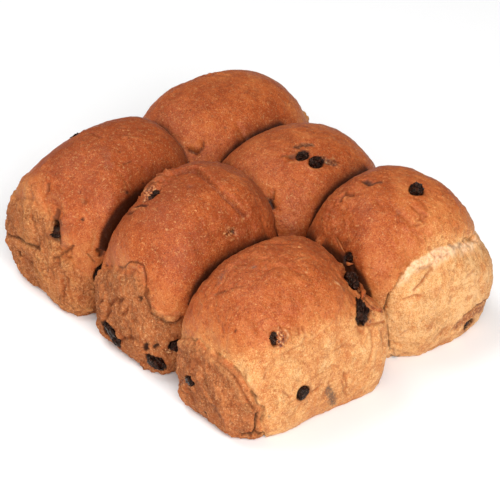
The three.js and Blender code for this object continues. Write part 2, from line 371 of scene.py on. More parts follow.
def skin_grid(half):
    """The turn and ring of every vertex, and the faces. The crown is a square patch whose squares become
    rings, closer near the rim; its border is carried down the wall, and in under the floor to a point."""
    step = np.linspace(-1, 1, PATCH + 1)
    s, t = np.meshgrid(step, step, indexing="ij")
    turn = np.arctan2(t * half[1], s * half[0]).ravel()
    ring = np.sin(np.pi / 2 * np.maximum(np.abs(s), np.abs(t))).ravel()
    index = np.arange((PATCH + 1)**2).reshape(PATCH + 1, PATCH + 1)
    quads = np.stack([index[:-1, :-1], index[1:, :-1], index[1:, 1:], index[:-1, 1:]], -1).reshape(-1, 4)

    border = np.concatenate([index[-1, :-1], index[:0:-1, -1], index[0, :0:-1], index[:-1, 0]])
    wall = 1 + (1 - (1 - np.linspace(0, 1, WALL_BANDS + 1)[1:])**WALL_CROWDING)
    floor = 2 + np.linspace(0, 1, FLOOR_BANDS + 1)[1:-1]
    bands = np.concatenate([wall, floor])
    around = len(border)
    below = len(turn) + np.arange(len(bands) * around).reshape(len(bands), around)
    loops = np.vstack([border, below])
    turn = np.concatenate([turn, np.tile(turn[border], len(bands)), [0.0]])
    ring = np.concatenate([ring, np.repeat(bands, around), [3.0]])
    return turn, ring, np.vstack([quads, loop_quads(loops)]), loop_fan(loops[-1], len(turn) - 1)


def vertex_normals(points, quads, triangles):
    """Unit normals at the vertices: the sum of the normals of the faces round each one."""
    total = np.zeros_like(points)
    for faces, far in ((quads, 3), (triangles, 2)):
        first, second, third, last = (points[faces[:, corner]] for corner in (0, 1, 2, far))
        normal = np.cross(third - first, last - second)
        for corner in range(faces.shape[1]):
            for axis in range(3):
                total[:, axis] += np.bincount(faces[:, corner], normal[:, axis], len(points))
    return total / np.maximum(np.linalg.norm(total, axis=1, keepdims=True), 1e-12)


def mesh_object(name, points, quads, triangles, marks):
    """A smooth-shaded mesh from arrays in millimetres, with its marks as point attributes."""
    mesh = bpy.data.meshes.new(name)
    corners = np.concatenate([quads.ravel(), triangles.ravel()]).astype(np.int32)
    starts = np.concatenate([np.arange(len(quads)) * 4, len(quads) * 4 + np.arange(len(triangles)) * 3])
    mesh.vertices.add(len(points))
    mesh.vertices.foreach_set("co", (points * MM).astype(np.float32).ravel())
    mesh.loops.add(len(corners))
    mesh.loops.foreach_set("vertex_index", corners)
    mesh.polygons.add(len(starts))
    mesh.polygons.foreach_set("loop_start", starts.astype(np.int32))
    mesh.update(calc_edges=True)
    mesh.polygons.foreach_set("use_smooth", np.ones(len(starts), bool))
    for mark_name, values in marks.items():
        attribute = mesh.attributes.new(mark_name, "FLOAT", "POINT")
        attribute.data.foreach_set("value", values.astype(np.float32))
    mesh.validate()
    piece = bpy.data.objects.new(name, mesh)
    bpy.context.scene.collection.objects.link(piece)
    return piece


# ---------------------------------------------------------------- torn walls and marks

# Where the outer walls have torn as the dough rose. Each torn patch has its upper edge, as turns in
# degrees and heights; out and belly, how much of the wall's lip it stands out by at its edge and lower
# down; rough, how torn its crumb is; bake, how brown, which is browner on the front walls than on the
# right-hand ones partly as the crumb's own colour and partly as painted shade; soft, how gradually the
# crust fades into it, in millimetres; crease, how dark the groove at its edge is, as painted shade;
# fringe, how pale the ragged edge is; ragged, how wide that is; unbroken, how much of it stays in its
# gaps; and thin_below, the height under which it thins out. USUAL_PATCH is what a patch has unless it
# says otherwise.
USUAL_PATCH = dict(ragged=2.6, unbroken=0, thin_below=0)
TORN = {
    "bun_front_left": [
        dict(out=0.35, belly=0.45, rough=0.4, bake=0.5, soft=4, crease=0.1, fringe=0.15, edge=(
            (136, 30), (150, 42), (175, 47), (205, 48), (225, 50), (238, 54), (250, 57), (262, 57),
            (271, 54), (278, 50), (284, 46))),
        dict(out=0.75, belly=1.15, rough=1.0, bake=0.52, soft=1.5, crease=0.35, fringe=0.3, edge=(
            (134, -5), (140, 24), (152, 36), (172, 41), (200, 42), (225, 43), (240, 43), (247, 45),
            (258, 48), (268, 50), (275, 49), (282, 47), (288, 42), (293, 35), (298, 29), (304, 25),
            (311, 22), (318, 20), (326, -5))),
    ],
    "bun_front_middle": [
        dict(out=0.8, belly=1.15, rough=1.0, bake=0.8, soft=0.8, crease=0.35, fringe=0.1, edge=(
            (222, -5), (228, 26), (238, 34), (247, 39.5), (257, 44), (266, 46), (272, 47), (278, 48.5),
            (284, 51), (288, 50.5), (292, 49), (294, 45), (297, 43), (300, 41.5), (301, 38), (303, 34.5),
            (306, 33.5), (310, 33), (314, 34), (317, 35), (320, 33), (322, -5))),
    ],
    "bun_front_right": [
        dict(out=0.75, belly=1.15, rough=0.9, bake=0.72, soft=0.8, crease=0.7, fringe=0.2, edge=(
            (222, -5), (229, 22), (236, 30), (246, 34), (255, 38), (262, 40), (269, 39), (276, 39.5),
            (282, 40), (288, 40), (294, 39), (297, 36.5), (300, 33), (303, 30), (306, 26), (309, 22.5),
            (312, 19), (313, -5))),
        dict(out=0.7, belly=1.1, rough=0.2, bake=0.2, soft=9, crease=0.0, fringe=0.0, edge=(
            (311, -5), (313, 19), (309, 25), (303, 33), (303, 40), (310, 43), (323, 44), (330, 45.5),
            (338, 47), (354, 47), (377, 46), (392, 44), (405, 41), (414, 34), (420, -5))),
    ],
    "bun_back_left": [
        dict(out=0.75, belly=1.2, rough=0.9, bake=0.4, soft=2, crease=0.3, fringe=0.5, edge=(
            (48, -5), (54, 33), (66, 40), (80, 43), (96, 41), (112, 43), (132, 42), (150, 40), (166, 42),
            (182, 41), (200, 38), (214, 34), (222, -5))),
    ],
    "bun_back_middle": [
        dict(out=0.75, belly=1.2, rough=0.9, bake=0.4, soft=2, crease=0.3, fringe=0.5, edge=(
            (46, -5), (52, 32), (64, 38), (78, 42), (92, 40), (106, 42), (120, 38), (130, 32), (136, -5))),
    ],
    "bun_back_right": [
        dict(out=0.3, belly=1.4, rough=0.3, bake=0.11, soft=0.7, crease=0.35, fringe=0.85,
             ragged=8, unbroken=0.9, thin_below=47, edge=(
            (320, -5), (319, 10), (316, 18), (313, 25), (312.5, 30), (314, 34), (317, 39), (320, 43),
            (324, 46.5), (329, 49), (333, 50.5), (339, 51), (347, 51.5), (356, 53), (365, 52.5), (373, 52),
            (382, 51), (388, 49.5), (393, 48.2), (398, 47), (405, 45.5), (420, 44), (438, 42), (456, 43),
            (472, 40), (484, 34), (492, -5))),
    ],
}

# Where a part of a crown has risen over the rest: the height of its step, and its border as
# (turn in degrees, ring).
RAISED = {
    "bun_front_middle": dict(height=2.6, border=(
        (205, 0.66), (198, 0.42), (172, 0.35), (153, 0.24), (118, 0.09), (16, 0.23), (14, 0.44), (20, 0.57),
        (23, 0.64), (27, 0.78), (34, 1.0), (70, 1.1), (110, 1.1), (150, 1.0), (190, 0.9))),
}


def mark(path, wide, deep=0.0, **tones):
    """A mark on the skin along a path of (turn in degrees, ring): its half width and its depth in
    millimetres, a ridge when that is below zero, and how strong its tones are: dark, which in a dent is
    painted shade, scar for browner, pale, which on some ridges is a painted highlight, grey and flaked."""
    return dict(path=path, wide=wide, deep=deep, tones=tones)


# The marks that each bun has: tears and pits by its raisins, wrinkles and folds in the crust, cracks
# in the torn walls, bits of fruit, and grey smudges where a raisin lies just under the skin. Their dark
# tone is painted shade in the cracks, pits and grooves, and the colour of dark spots and bits of fruit
# elsewhere; their pale tone is the paler dough of torn skin, and along some raised ridges a painted
# highlight.
MARKS = {
    "bun_front_left": [
        mark([(289.5, 1.0), (290, 1.06), (291, 1.12)], 0.9, 1.6, dark=0.95),
        mark([(287.5, 1.0), (287.5, 1.06), (288, 1.12)], 1.6, -2.2, scar=0.15),
        mark([(291, 0.98), (292, 1.0)], 1.6, 0.8, dark=0.6, scar=1.0),
        mark([(292, 1.16), (295, 1.17)], 1.8, -1.4, scar=0.3),
        mark([(291, 1.02), (292, 1.08), (293.5, 1.13)], 2.4, 1.4, flaked=0.5, dark=0.5, grey=0.5),
        mark([(297.5, 0.985), (299, 1.03), (299, 1.08)], 3.0, -1.9, grey=0.3),
        mark([(294, 1.0), (295, 1.04)], 1.2, grey=0.8),
        mark([(295.5, 0.985), (297, 0.99)], 0.6, dark=0.6),
        mark([(280, 0.97), (286, 0.95), (292, 0.94), (297, 0.96)], 1.1, -0.7, pale=0.25),
        mark([(282, 0.985), (288, 0.97), (294, 0.96)], 0.5, 0.5, scar=0.7),
        mark([(284, 0.93), (290, 0.89)], 0.8, 0.2, pale=0.2),
        mark([(273, 0.94), (276, 0.96)], 1.1, 0.9, scar=1.0, dark=0.4),
        mark([(307, 0.88)], 1.2, 0.7, scar=0.9, dark=0.3),
        mark([(305, 0.88)], 0.8, -0.3, pale=0.6),
        mark([(309, 0.95)], 1.0, -0.3, dark=1.0),
        mark([(340, 0.83)], 1.1, -0.3, dark=1.0),
        mark([(338, 0.79)], 1.0, 0.2, pale=0.35),
        mark([(1, 0.81)], 0.8, 0.3, dark=0.9),
        mark([(315, 0.98), (320, 0.97)], 0.6, 0.3, pale=0.45),
        mark([(318, 0.98), (317, 1.0)], 0.7, 0.5, pale=0.5, scar=0.6),
        mark([(296, 0.38), (308, 0.47), (316, 0.58)], 2.6, -0.35, grey=0.2),
        mark([(335, 0.57), (348, 0.57)], 0.5, 0.5, dark=0.5),
        mark([(326, 0.40)], 0.6, 0.4, dark=0.6),
        mark([(228, 0.38), (259, 0.28)], 0.8, 0.5, dark=0.3),
        mark([(340, 0.12), (24, 0.30), (33, 0.46)], 0.8, -0.35, pale=0.25),
        mark([(237, 1.50), (247, 1.47), (258, 1.46), (268, 1.45), (279, 1.41)], 0.8, 1.3, dark=0.75),
        mark([(215, 1.58), (237, 1.57), (247, 1.54), (258, 1.53), (268, 1.52), (279, 1.48)], 1.6, -0.9),
        mark([(291, 1.37), (296, 1.29), (301, 1.18), (305, 1.06)], 0.7, 0.9, dark=0.55, scar=0.5),
        mark([(301, 1.51), (302, 1.61), (304, 1.75)], 0.8, 0.6, scar=0.8),
        mark([(254, 1.64)], 1.4, 2.0, dark=0.9, scar=0.8),
        mark([(265, 1.68)], 1.3, 1.8, dark=0.8, scar=0.8),
        mark([(320, 1.02), (323, 1.05), (322, 1.10)], 1.3, 1.2, dark=0.8, scar=0.8),
        mark([(260, 0.92), (271, 0.96)], 2.6, pale=0.2),
        mark([(314, 1.09), (318, 1.20)], 0.5, 0.5, dark=0.5),
        mark([(288, 1.25), (295, 1.21)], 0.7, 0.5, scar=0.5),
        mark([(300, 1.13), (303, 1.17)], 0.8, 0.8, scar=0.8),
        mark([(303, 1.24), (300, 1.29), (297, 1.30)], 0.8, 0.8, scar=0.8),
        mark([(296, 1.32), (293, 1.40), (290, 1.46)], 0.7, 0.7, scar=0.8),
        mark([(297, 1.57), (298, 1.7), (298, 1.85)], 0.7, 0.9, scar=1.0),
        mark([(300, 1.59), (297, 1.72), (294, 1.80)], 0.5, 0.5, scar=0.7),
        mark([(280, 1.60), (284, 1.66)], 0.6, 0.6, scar=0.8),
        mark([(268, 1.60), (274, 1.68)], 0.6, 0.6, scar=0.8),
    ],
    "bun_front_middle": [
        mark([(205, 0.51), (208, 0.56), (212, 0.58), (221, 0.58), (231, 0.58)],
             2.6, -2.8, pale=0.15, scar=0.3),
        mark([(213, 0.55), (224, 0.56), (233, 0.57)], 0.5, 0.8, dark=0.5),
        mark([(237, 0.48), (242, 0.53), (246, 0.57)], 1.1, 1.7, dark=1.0),
        mark([(232, 0.53), (237, 0.59), (243, 0.62)], 1.3, 0.4, flaked=0.9),
        mark([(240, 0.72), (245, 0.68), (255, 0.65)], 0.9, 0.6, dark=0.95),
        mark([(241, 0.745), (247, 0.705), (256, 0.68)], 0.5, -0.5, pale=0.6),
        mark([(227, 0.82), (239, 0.78), (246, 0.75)], 0.8, 1.3, dark=0.7),
        mark([(251, 0.79)], 1.0, 0.3, scar=0.6),
        mark([(1, 0.79), (3, 0.76), (6, 0.755)], 0.6, -0.5, pale=0.5),
        mark([(9, 0.83), (5, 0.83)], 0.5, -0.5, pale=0.6),
        mark([(4, 0.79), (10, 0.79)], 2.1, 1.3, flaked=0.9),
        mark([(11.5, 0.79)], 1.0, 0.6, dark=0.9),
        mark([(273, 0.16)], 1.4, 0.3, grey=0.7),
        mark([(194, 0.39), (172, 0.35), (153, 0.24), (118, 0.09), (16, 0.23), (14, 0.44), (20, 0.57),
              (23, 0.64), (26, 0.72)], 0.7, 0.8, dark=0.4),
        mark([(150, 0.36), (95, 0.30), (48, 0.40), (40, 0.60)], 7.0, -0.8),
        mark([(23, 0.74)], 1.2, -0.2, pale=0.5),
        mark([(313, 1.13), (315, 1.07)], 0.7, -0.4, pale=0.5),
        mark([(232, 1.21), (238, 1.13), (245, 1.07), (254, 1.05)], 0.7, -0.5, pale=0.2),
        mark([(254, 1.05), (262, 1.04), (270, 1.03), (277, 0.995), (285, 0.98), (291, 0.99), (294, 1.03)],
             1.1, -0.6, pale=0.28),
        mark([(236, 1.06), (250, 1.045), (264, 1.04), (271, 1.02), (277, 0.99), (284, 0.975), (290, 0.968),
              (293.5, 0.985), (295, 1.02), (298, 1.09), (299.5, 1.16)], 0.5, 1.0, dark=0.55, scar=0.8),
        mark([(296, 1.0), (296.5, 1.05)], 0.6, 1.0, dark=0.5),
        mark([(324, 0.99)], 0.9, 0.8, dark=0.4),
        mark([(270, 1.32), (260, 1.47)], 0.9, 1.0, scar=0.9, dark=0.25),
        mark([(260, 1.46), (257, 1.6)], 0.8, 0.9, scar=0.8, dark=0.2),
        mark([(270, 1.47), (275, 1.37)], 0.8, 0.7, scar=0.7),
        mark([(282, 1.66), (289, 1.60)], 1.0, 0.7, scar=0.8, dark=0.3),
        mark([(292, 1.12)], 1.1, 0.4, dark=0.85),
        mark([(296, 1.66), (297, 1.6)], 1.3, 1.4, dark=1.0, scar=0.7),
        mark([(302, 1.6), (304, 1.57)], 1.1, 1.2, dark=1.0),
        mark([(308, 1.62), (312, 1.66)], 1.6, 0.8, flaked=0.8),
        mark([(300, 1.22), (306, 1.235), (310, 1.25), (315, 1.24), (320, 1.18)], 0.8, 1.1, dark=0.5),
        mark([(303, 1.18), (309, 1.19), (314, 1.19)], 1.2, -0.9, pale=0.5),
        mark([(299, 1.03), (298, 1.12)], 0.9, -0.5, pale=0.2),
        mark([(40, 0.80), (39, 0.89)], 0.9, 0.5, scar=0.4),
        mark([(28, 0.78), (27, 0.86)], 1.0, 0.5, scar=0.3),
        mark([(277, 1.51), (282, 1.58)], 1.2, 0.8, scar=0.6),
        mark([(252, 1.10), (256, 1.25)], 0.8, 0.6, scar=0.5),
        mark([(249, 1.52), (253, 1.42)], 0.8, 1.1, scar=1.0, dark=0.2),
        mark([(262, 1.50), (257, 1.61)], 0.9, 1.3, scar=1.0, dark=0.35),
        mark([(271, 1.37), (278, 1.26)], 0.9, 1.2, scar=1.0, dark=0.3),
        mark([(275, 1.47), (282, 1.34)], 0.7, 1.0, scar=1.0),
        mark([(269, 1.81), (276, 1.72), (283, 1.65)], 0.9, 1.2, scar=1.0, dark=0.3),
        mark([(285, 1.45), (289, 1.38)], 0.7, 0.9, scar=0.9),
        mark([(265, 1.28), (270, 1.21)], 0.7, 0.9, scar=0.9),
    ],
    "bun_front_right": [
        mark([(255, 0.78), (264, 0.72)], 0.6, 0.5, dark=0.5),
        mark([(268, 0.68), (278, 0.61)], 0.7, 0.6, scar=0.7, dark=0.2),
        mark([(241, 0.63), (250, 0.70)], 1.6, -0.2, grey=0.55),
        mark([(269, 0.36)], 1.1, 0.2, grey=0.8),
        mark([(328, 0.05)], 0.7, 0.4, dark=0.6),
        mark([(293, 0.39), (312, 0.27), (347, 0.37)], 1.1, 0.45, scar=0.25),
        mark([(20, 0.33), (43, 0.38)], 0.7, -0.4, pale=0.4),
        mark([(354, 0.46), (9, 0.56), (9, 0.70)], 0.9, 0.4, scar=0.25),
        mark([(270, 0.91), (277, 0.93), (281, 0.95)], 0.8, 0.6, scar=0.4),
        mark([(296, 0.84), (303, 0.87), (306, 0.91)], 1.1, 0.8, scar=0.55),
        mark([(290, 0.86), (297, 0.88)], 3.2, 0.6),
        mark([(292, 0.92)], 0.9, 0.2, dark=0.9),
        mark([(322.5, 0.945), (324.5, 0.96), (323.5, 0.98)], 2.2, -1.3, flaked=1.0),
        mark([(319, 0.935), (318.5, 0.955), (319.5, 0.98)], 0.9, 2.2, dark=1.0),
        mark([(314, 0.96), (315.5, 0.985), (319, 0.99)], 0.7, -0.5, pale=0.5),
        mark([(327, 0.94), (329, 0.96), (327, 0.98)], 0.8, -0.7, pale=0.8),
        mark([(319.5, 0.92), (322.5, 0.925)], 0.6, -0.5, scar=0.6),
        mark([(322, 1.01), (329, 0.995), (336, 1.005), (344, 0.995), (352, 1.025), (2, 1.0), (12, 0.99)],
             0.9, -0.9, pale=0.55),
        mark([(326, 1.03), (338, 1.03), (352, 1.05)], 0.8, 0.5, scar=0.4),
        mark([(303, 1.09), (306, 1.21), (309, 1.38), (310, 1.5)], 2.0, -0.5, pale=0.6),
        mark([(278, 1.01), (288, 1.07), (297, 1.17), (302, 1.35), (308, 1.53)],
             0.6, 0.9, scar=0.6, dark=0.25),
        mark([(340, 0.97), (340, 0.99)], 0.8, 0.8, scar=1.0),
        mark([(352, 1.61), (357, 1.60)], 0.5, 0.6, scar=0.9),
        mark([(23, 1.54), (25, 1.64), (27, 1.74)], 0.6, 0.9, scar=0.9),
        mark([(14, 1.26), (23, 1.22), (31, 1.26)], 0.7, 0.6, scar=0.6),
        mark([(313, 1.14), (318, 1.07), (327, 1.08)], 0.7, -0.6, pale=0.6),
        mark([(330, 1.60), (337, 1.58)], 0.6, 0.5, scar=0.6),
        mark([(239, 1.68), (248, 1.63), (251, 1.55)], 1.8, 0.8, flaked=0.8),
        mark([(260, 1.9), (263, 1.95)], 1.0, 0.6, dark=0.8),
        mark([(321, 1.01), (328, 1.015), (336, 1.04)], 0.8, 0.7, scar=0.5),
        mark([(343, 0.97), (345, 1.0)], 0.8, 0.8, scar=0.9),
        mark([(42, 0.82)], 1.4, 0.2, grey=0.8),
        mark([(37, 0.75), (39, 0.80)], 0.9, -0.3, pale=0.8),
        mark([(66, 0.72), (74, 0.75), (79, 0.82)], 0.8, -0.8, pale=0.5),
        mark([(72, 0.89), (64, 0.92), (56, 0.945), (50, 0.97)], 2.6, 1.0, flaked=0.9),
        mark([(68, 0.88), (61, 0.91)], 0.8, 0.9, dark=0.7),
        mark([(46, 0.93), (42, 0.96), (43, 1.0)], 1.0, -0.6, flaked=0.7),
        mark([(8, 1.65), (13, 1.78), (17, 1.87)], 2.0, 0.2, grey=1.0, dark=0.3),
        mark([(326, 1.42), (331, 1.53)], 0.6, 0.5, scar=0.8),
        mark([(345, 1.58), (354, 1.60), (1, 1.57)], 0.7, 0.6, scar=0.9),
        mark([(22, 1.64), (25, 1.76), (30, 1.86)], 0.6, 0.7, scar=0.8),
        mark([(314, 1.19), (315, 1.09)], 0.7, 0.5, scar=0.7),
        mark([(350, 1.45), (2, 1.44)], 0.7, 0.4, scar=0.5),
        mark([(23, 1.60), (28, 1.55)], 0.6, 0.4, scar=0.5),
        mark([(317, 1.67)], 0.9, 0.1, grey=0.8),
        mark([(257, 1.27), (266, 1.16)], 1.8, 0.5, scar=0.7),
        mark([(256, 1.45)], 1.0, -0.6, pale=1.0),
        mark([(236, 1.13), (246, 1.03), (262, 0.99), (276, 1.03), (287, 1.10), (295, 1.21), (300, 1.38),
              (305, 1.55)], 1.7, -0.7, pale=0.4),
        mark([(272, 1.83)], 1.5, 0.5, dark=1.0),
        mark([(283, 1.62), (288, 1.69)], 1.6, 0.2, grey=0.5, scar=0.3),
        mark([(310, 1.62), (309, 1.73), (308, 1.85)], 0.6, 1.6, dark=0.85),
        mark([(308, 1.85), (300, 1.92)], 0.9, 1.4, dark=0.8),
        mark([(308, 1.85), (312, 1.92)], 0.8, 1.2, dark=0.7),
        mark([(260, 1.70), (260, 1.84)], 1.1, 0.8, scar=0.7),
        mark([(327, 0.62), (325, 0.69)], 0.8, 0.4, scar=0.35),
        mark([(335, 0.67), (336, 0.73)], 0.7, 0.4, scar=0.3),
        mark([(301, 1.0), (312, 0.995), (321, 1.0), (335, 1.13), (346, 1.26), (351, 1.37)],
             0.7, 0.35, scar=0.25),
        mark([(26, 1.07), (32, 1.01), (38, 1.01)], 0.8, -0.6, pale=0.6),
        mark([(40, 1.02), (40, 1.13), (37, 1.25)], 0.7, -0.8, pale=0.6),
        mark([(34, 1.03), (36, 1.12)], 0.7, 0.7, scar=0.7),
        mark([(36, 1.03), (42, 1.045), (47, 1.05), (53, 1.08)], 0.7, 0.9, scar=0.9),
        mark([(43, 1.12), (43, 1.32), (41, 1.49)], 0.8, 0.7, scar=0.5),
        mark([(49, 1.17), (50, 1.44)], 0.7, 0.7, scar=0.5),
        mark([(46, 1.10), (47, 1.30)], 0.8, -0.7, pale=0.3),
    ],
    "bun_back_left": [
        mark([(303, 0.86)], 2.4, -1.6, pale=0.15),
        mark([(309, 0.83), (309, 0.87), (305, 0.90)], 0.7, 0.9, dark=0.6),
        mark([(299, 0.89), (304, 0.90)], 1.0, 1.0, dark=0.7),
        mark([(344, 0.78), (345, 0.84), (347, 0.91)], 1.3, 0.9, scar=0.3),
        mark([(290, 0.52)], 0.8, 0.4, dark=0.6),
        mark([(329, 0.76)], 0.6, 0.2, dark=0.6),
        mark([(140, 0.45), (109, 0.34)], 1.3, 0.7, dark=0.15),
        mark([(150, 0.50)], 1.4, -0.8),
        mark([(354, 0.72)], 0.8, 0.4, scar=0.3),
    ],
    "bun_back_middle": [
        mark([(300, 0.43), (310, 0.38), (325, 0.37)], 0.6, -0.5, pale=0.3),
        mark([(318, 0.235), (341, 0.2), (358, 0.235), (8, 0.29)], 1.5, 0.6, flaked=0.5, dark=0.6, grey=0.5),
        mark([(330, 0.25), (350, 0.24)], 1.4, 0.4, scar=0.8),
        mark([(297, 0.42), (309, 0.40)], 1.0, 0.6, scar=1.0, dark=0.4),
        mark([(312, 0.40), (322, 0.40)], 1.9, 1.2, scar=1.0, dark=0.65),
        mark([(312, 0.46), (324, 0.48)], 1.4, 0.5, scar=0.7),
        mark([(2, 0.53), (4, 0.62), (12, 0.66)], 1.5, 0.5, flaked=0.6, dark=0.5, grey=0.6),
        mark([(308, 0.45), (322, 0.44)], 0.9, 0.5, scar=0.5),
        mark([(312, 0.49), (326, 0.47)], 0.6, -0.6, pale=0.5),
        mark([(0, 0.60), (13, 0.62), (18, 0.66)], 0.6, 0.6, dark=0.6),
        mark([(357, 0.64), (8, 0.69)], 0.6, 0.5, scar=0.7),
        mark([(2, 0.57), (14, 0.60)], 0.5, -0.5, pale=0.5),
        mark([(57, 0.47)], 1.0, -0.2, pale=0.5),
        mark([(307, 0.73), (315, 0.74)], 0.6, 0.4, scar=0.3),
        mark([(299, 0.88), (301, 0.90)], 2.3, 2.0, dark=1.0),
        mark([(301, 0.80), (301, 0.86)], 0.7, 0.8, dark=0.4),
    ],
    "bun_back_right": [
        mark([(324, 0.96), (320, 0.98), (315, 0.99)], 0.45, 0.8, dark=0.5),
        mark([(315, 0.99), (312, 1.02), (312, 1.22), (314, 1.44), (316, 1.69), (318, 1.98)],
             0.6, 1.2, dark=0.8),
        mark([(44, 1.04), (37, 1.02), (30, 1.01)], 1.2, 1.8, dark=0.3),
        mark([(223, 0.34), (243, 0.25), (243, 0.13)], 1.0, 0.4, dark=0.65, grey=0.4),
        mark([(243, 0.28)], 1.2, 0.5, dark=0.5),
        mark([(226, 0.32), (238, 0.27)], 1.9, 0.9, dark=0.8, grey=0.5),
        mark([(244, 0.64), (240, 0.57), (251, 0.51)], 1.0, 0.9, scar=1.0, dark=0.45),
        mark([(246, 0.58), (255, 0.55)], 0.7, -0.5, pale=0.25, scar=0.3),
        mark([(232, 0.54), (238, 0.47)], 0.7, 0.4, scar=0.4),
        mark([(254, 0.73)], 5.5, 1.1),
        mark([(348, 0.59), (353, 0.71), (352, 0.81)], 0.8, 0.7, scar=0.8),
        mark([(336, 0.77), (346, 0.81)], 0.8, 0.7, scar=0.8),
        mark([(328, 0.61), (337, 0.74)], 1.0, 0.7, scar=0.7),
        mark([(352, 0.70), (0, 0.79), (349, 0.78)], 0.8, 0.6, scar=0.8),
        mark([(290, 0.42), (304, 0.48)], 0.8, 0.5, scar=0.6),
        mark([(351, 0.98), (354, 1.05)], 0.8, 0.8, scar=0.8),
        mark([(323, 0.94), (330, 0.95)], 0.7, 0.5, scar=0.6),
        mark([(332, 1.01), (341, 1.03), (349, 1.06)], 0.7, 1.0, scar=1.0),
        mark([(338, 0.99), (345, 1.0), (350, 1.03)], 0.6, 0.9, scar=0.9, dark=0.2),
        mark([(353, 1.0), (359, 1.05), (8, 1.06)], 0.7, 1.0, scar=1.0),
        mark([(325, 1.02), (332, 1.07), (336, 1.13)], 0.6, 0.9, scar=0.8),
        mark([(12, 1.02), (18, 1.05), (25, 1.03)], 0.7, 0.9, scar=0.9, dark=0.3),
        mark([(345, 0.83), (354, 0.85)], 0.6, -0.4, pale=0.5),
        mark([(326, 0.59)], 1.8, 0.2, grey=0.4),
        mark([(18, 1.30), (26, 1.27)], 0.8, 0.4, scar=0.7),
        mark([(36, 1.66), (41, 1.68), (47, 1.74)], 0.6, 0.9, dark=0.5, scar=0.6),
        mark([(44, 1.71), (47, 1.63)], 0.8, 0.6, scar=0.8),
        mark([(14, 1.78), (22, 1.74), (30, 1.72), (40, 1.76)], 2.6, 0.8, scar=0.9, flaked=0.5),
        mark([(18, 1.70), (30, 1.66), (40, 1.69)], 0.8, 1.2, dark=0.5, scar=1.0),
        mark([(352, 1.79), (0, 1.74)], 1.4, 0.3, scar=0.6),
        mark([(323, 1.54), (329, 1.48)], 0.7, 0.3, scar=0.6),
        mark([(2, 1.48), (4, 1.43)], 0.9, 0.3, scar=0.6),
        mark([(322, 1.97)], 1.6, 0.2, dark=0.9),
        mark([(263, 0.85), (271, 0.87), (277, 0.89)], 0.6, 0.6, scar=0.8, dark=0.3),
        mark([(341, 0.87), (345, 0.93)], 0.7, 0.4, scar=0.5),
        mark([(276, 0.85)], 1.8, 0.6, dark=0.4),
        mark([(284, 0.89), (291, 0.93), (295, 0.96), (298, 0.985), (303, 1.0), (308, 1.07), (312, 1.2)],
             0.9, 0.5, dark=0.9, scar=1.0),
        mark([(359, 1.30)], 1.2, -0.3, pale=0.6),
        mark([(351, 1.94), (5, 1.93)], 1.0, 0.5, scar=0.5),
    ],
}


# ---------------------------------------------------------------- the seams between buns and their painted shade

# A seam is looked across along the first of these compass turns. The other two look further round to
# the back and to the left. Where a seam is open at its end they find less crown, and the shade may be
# no more than OPEN_END degrees over the deeper of the two. The steps are how far out each look goes.
SEAM_TURNS = (51, 115, -13)
SEAM_STEPS = (1, 2.5, 4, 6, 8, 10.5, 13.5, 17, 21, 26, 32)
OPEN_END = 20

# Each way that a seam is looked across: the half turn added, the last ring where every crown counts,
# and how near a crown has to be to count past it, in millimetres. RING_FADE is how much of a ring the
# change takes.
SEAM_WAYS = ((0, 0.97, 3), (180, 0.8, 0))
RING_FADE = 0.12

# Painted shade in the seams: the degrees of hidden sky at which the crust starts to be painted darker
# and is at its darkest, in a fold and in the crevice inside it.
FOLD_SHADE = (9, 28)
CREVICE_SHADE = (21, 31)

NOTHING_HIDDEN = -90.0


def rise_over(points, ring, neighbours, turn, last_ring, touching):
    """How many degrees the crowns of the neighbours rise over each point, looking level to a compass turn.
    Past the last ring only what is as near as `touching` counts."""
    across = np.array([math.sin(math.radians(turn)), -math.cos(math.radians(turn))])
    highest = np.full(len(points), NOTHING_HIDDEN)
    for away in SEAM_STEPS:
        lowered = 90 * smooth(last_ring, last_ring + RING_FADE, ring) * (away > touching)
        place = points[:, :2] + away * across
        for other in neighbours:
            near = np.all(np.abs(place - other.middle) < other.half, axis=1)
            rise = np.degrees(np.arctan2(other.crown_over(place[near]) - points[near, 2], away))
            highest[near] = np.maximum(highest[near], rise - lowered[near])
    return highest


def seam_shade(points, ring, neighbours):
    """How deep each point is in a seam, in degrees of sky that the neighbours hide. A seam is looked across
    to the front right, and also more to the back or to the left, where its open ends let the light in.
    The upper crowns are looked across the other way too."""
    deepest = np.full(len(points), NOTHING_HIDDEN)
    for half_turn, last_ring, touching in SEAM_WAYS:
        straight, backward, leftward = (
            rise_over(points, ring, neighbours, turn + half_turn, last_ring, touching) for turn in SEAM_TURNS)
        deepest = np.maximum(deepest, np.minimum(straight, OPEN_END + np.maximum(backward, leftward)))
    return deepest


# ---------------------------------------------------------------- the finished crust

# Every noise in the crust has a seed of its own: the bun's, and a number that nothing else uses.
TONES = ("dark", "scar", "pale", "grey", "flaked")

# How far below its edge a torn wall has its full belly, and over what height a fringe thins out.
BELLY_BELOW = 15
THINNING = 9

RAISINS = sorted(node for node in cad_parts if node.startswith("raisin"))

# The raisins that the torn crust still covers in part.
COVERED = ("raisin_left_pit", "raisin_right_pit", "raisin_torn_crown")


def raisin_axes(node):
    """The middle of a raisin's solid, its half sizes, and their directions."""
    corners = np.array([vertex.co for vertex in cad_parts[node].data.vertices], float) / MM
    middle = corners.mean(0)
    _, axes = np.linalg.eigh(np.cov((corners - middle).T))
    return middle, np.abs((corners - middle) @ axes).max(0), axes


def strengthen(tones, tone, share):
    """Makes a tone at least as strong as a share."""
    tones[tone] = np.maximum(tones[tone], share)


def lay_marks(bun, points, fuzz, tones, dents):
    """Adds a bun's marks to its tones and dents. Across its path a dent fades by a bell curve of the
    distance in half widths, and a tone by a squarer one."""
    for spot in MARKS[bun.name]:
        path = np.array([bun.place(*stop) for stop in spot["path"]])
        away = path_distance(points, path) * fuzz / spot["wide"]
        dents += spot["deep"] * bell(away)
        share = np.exp(-(1.15 * away)**4)
        for tone, strength in spot["tones"].items():
            strengthen(tones, tone, strength * share)


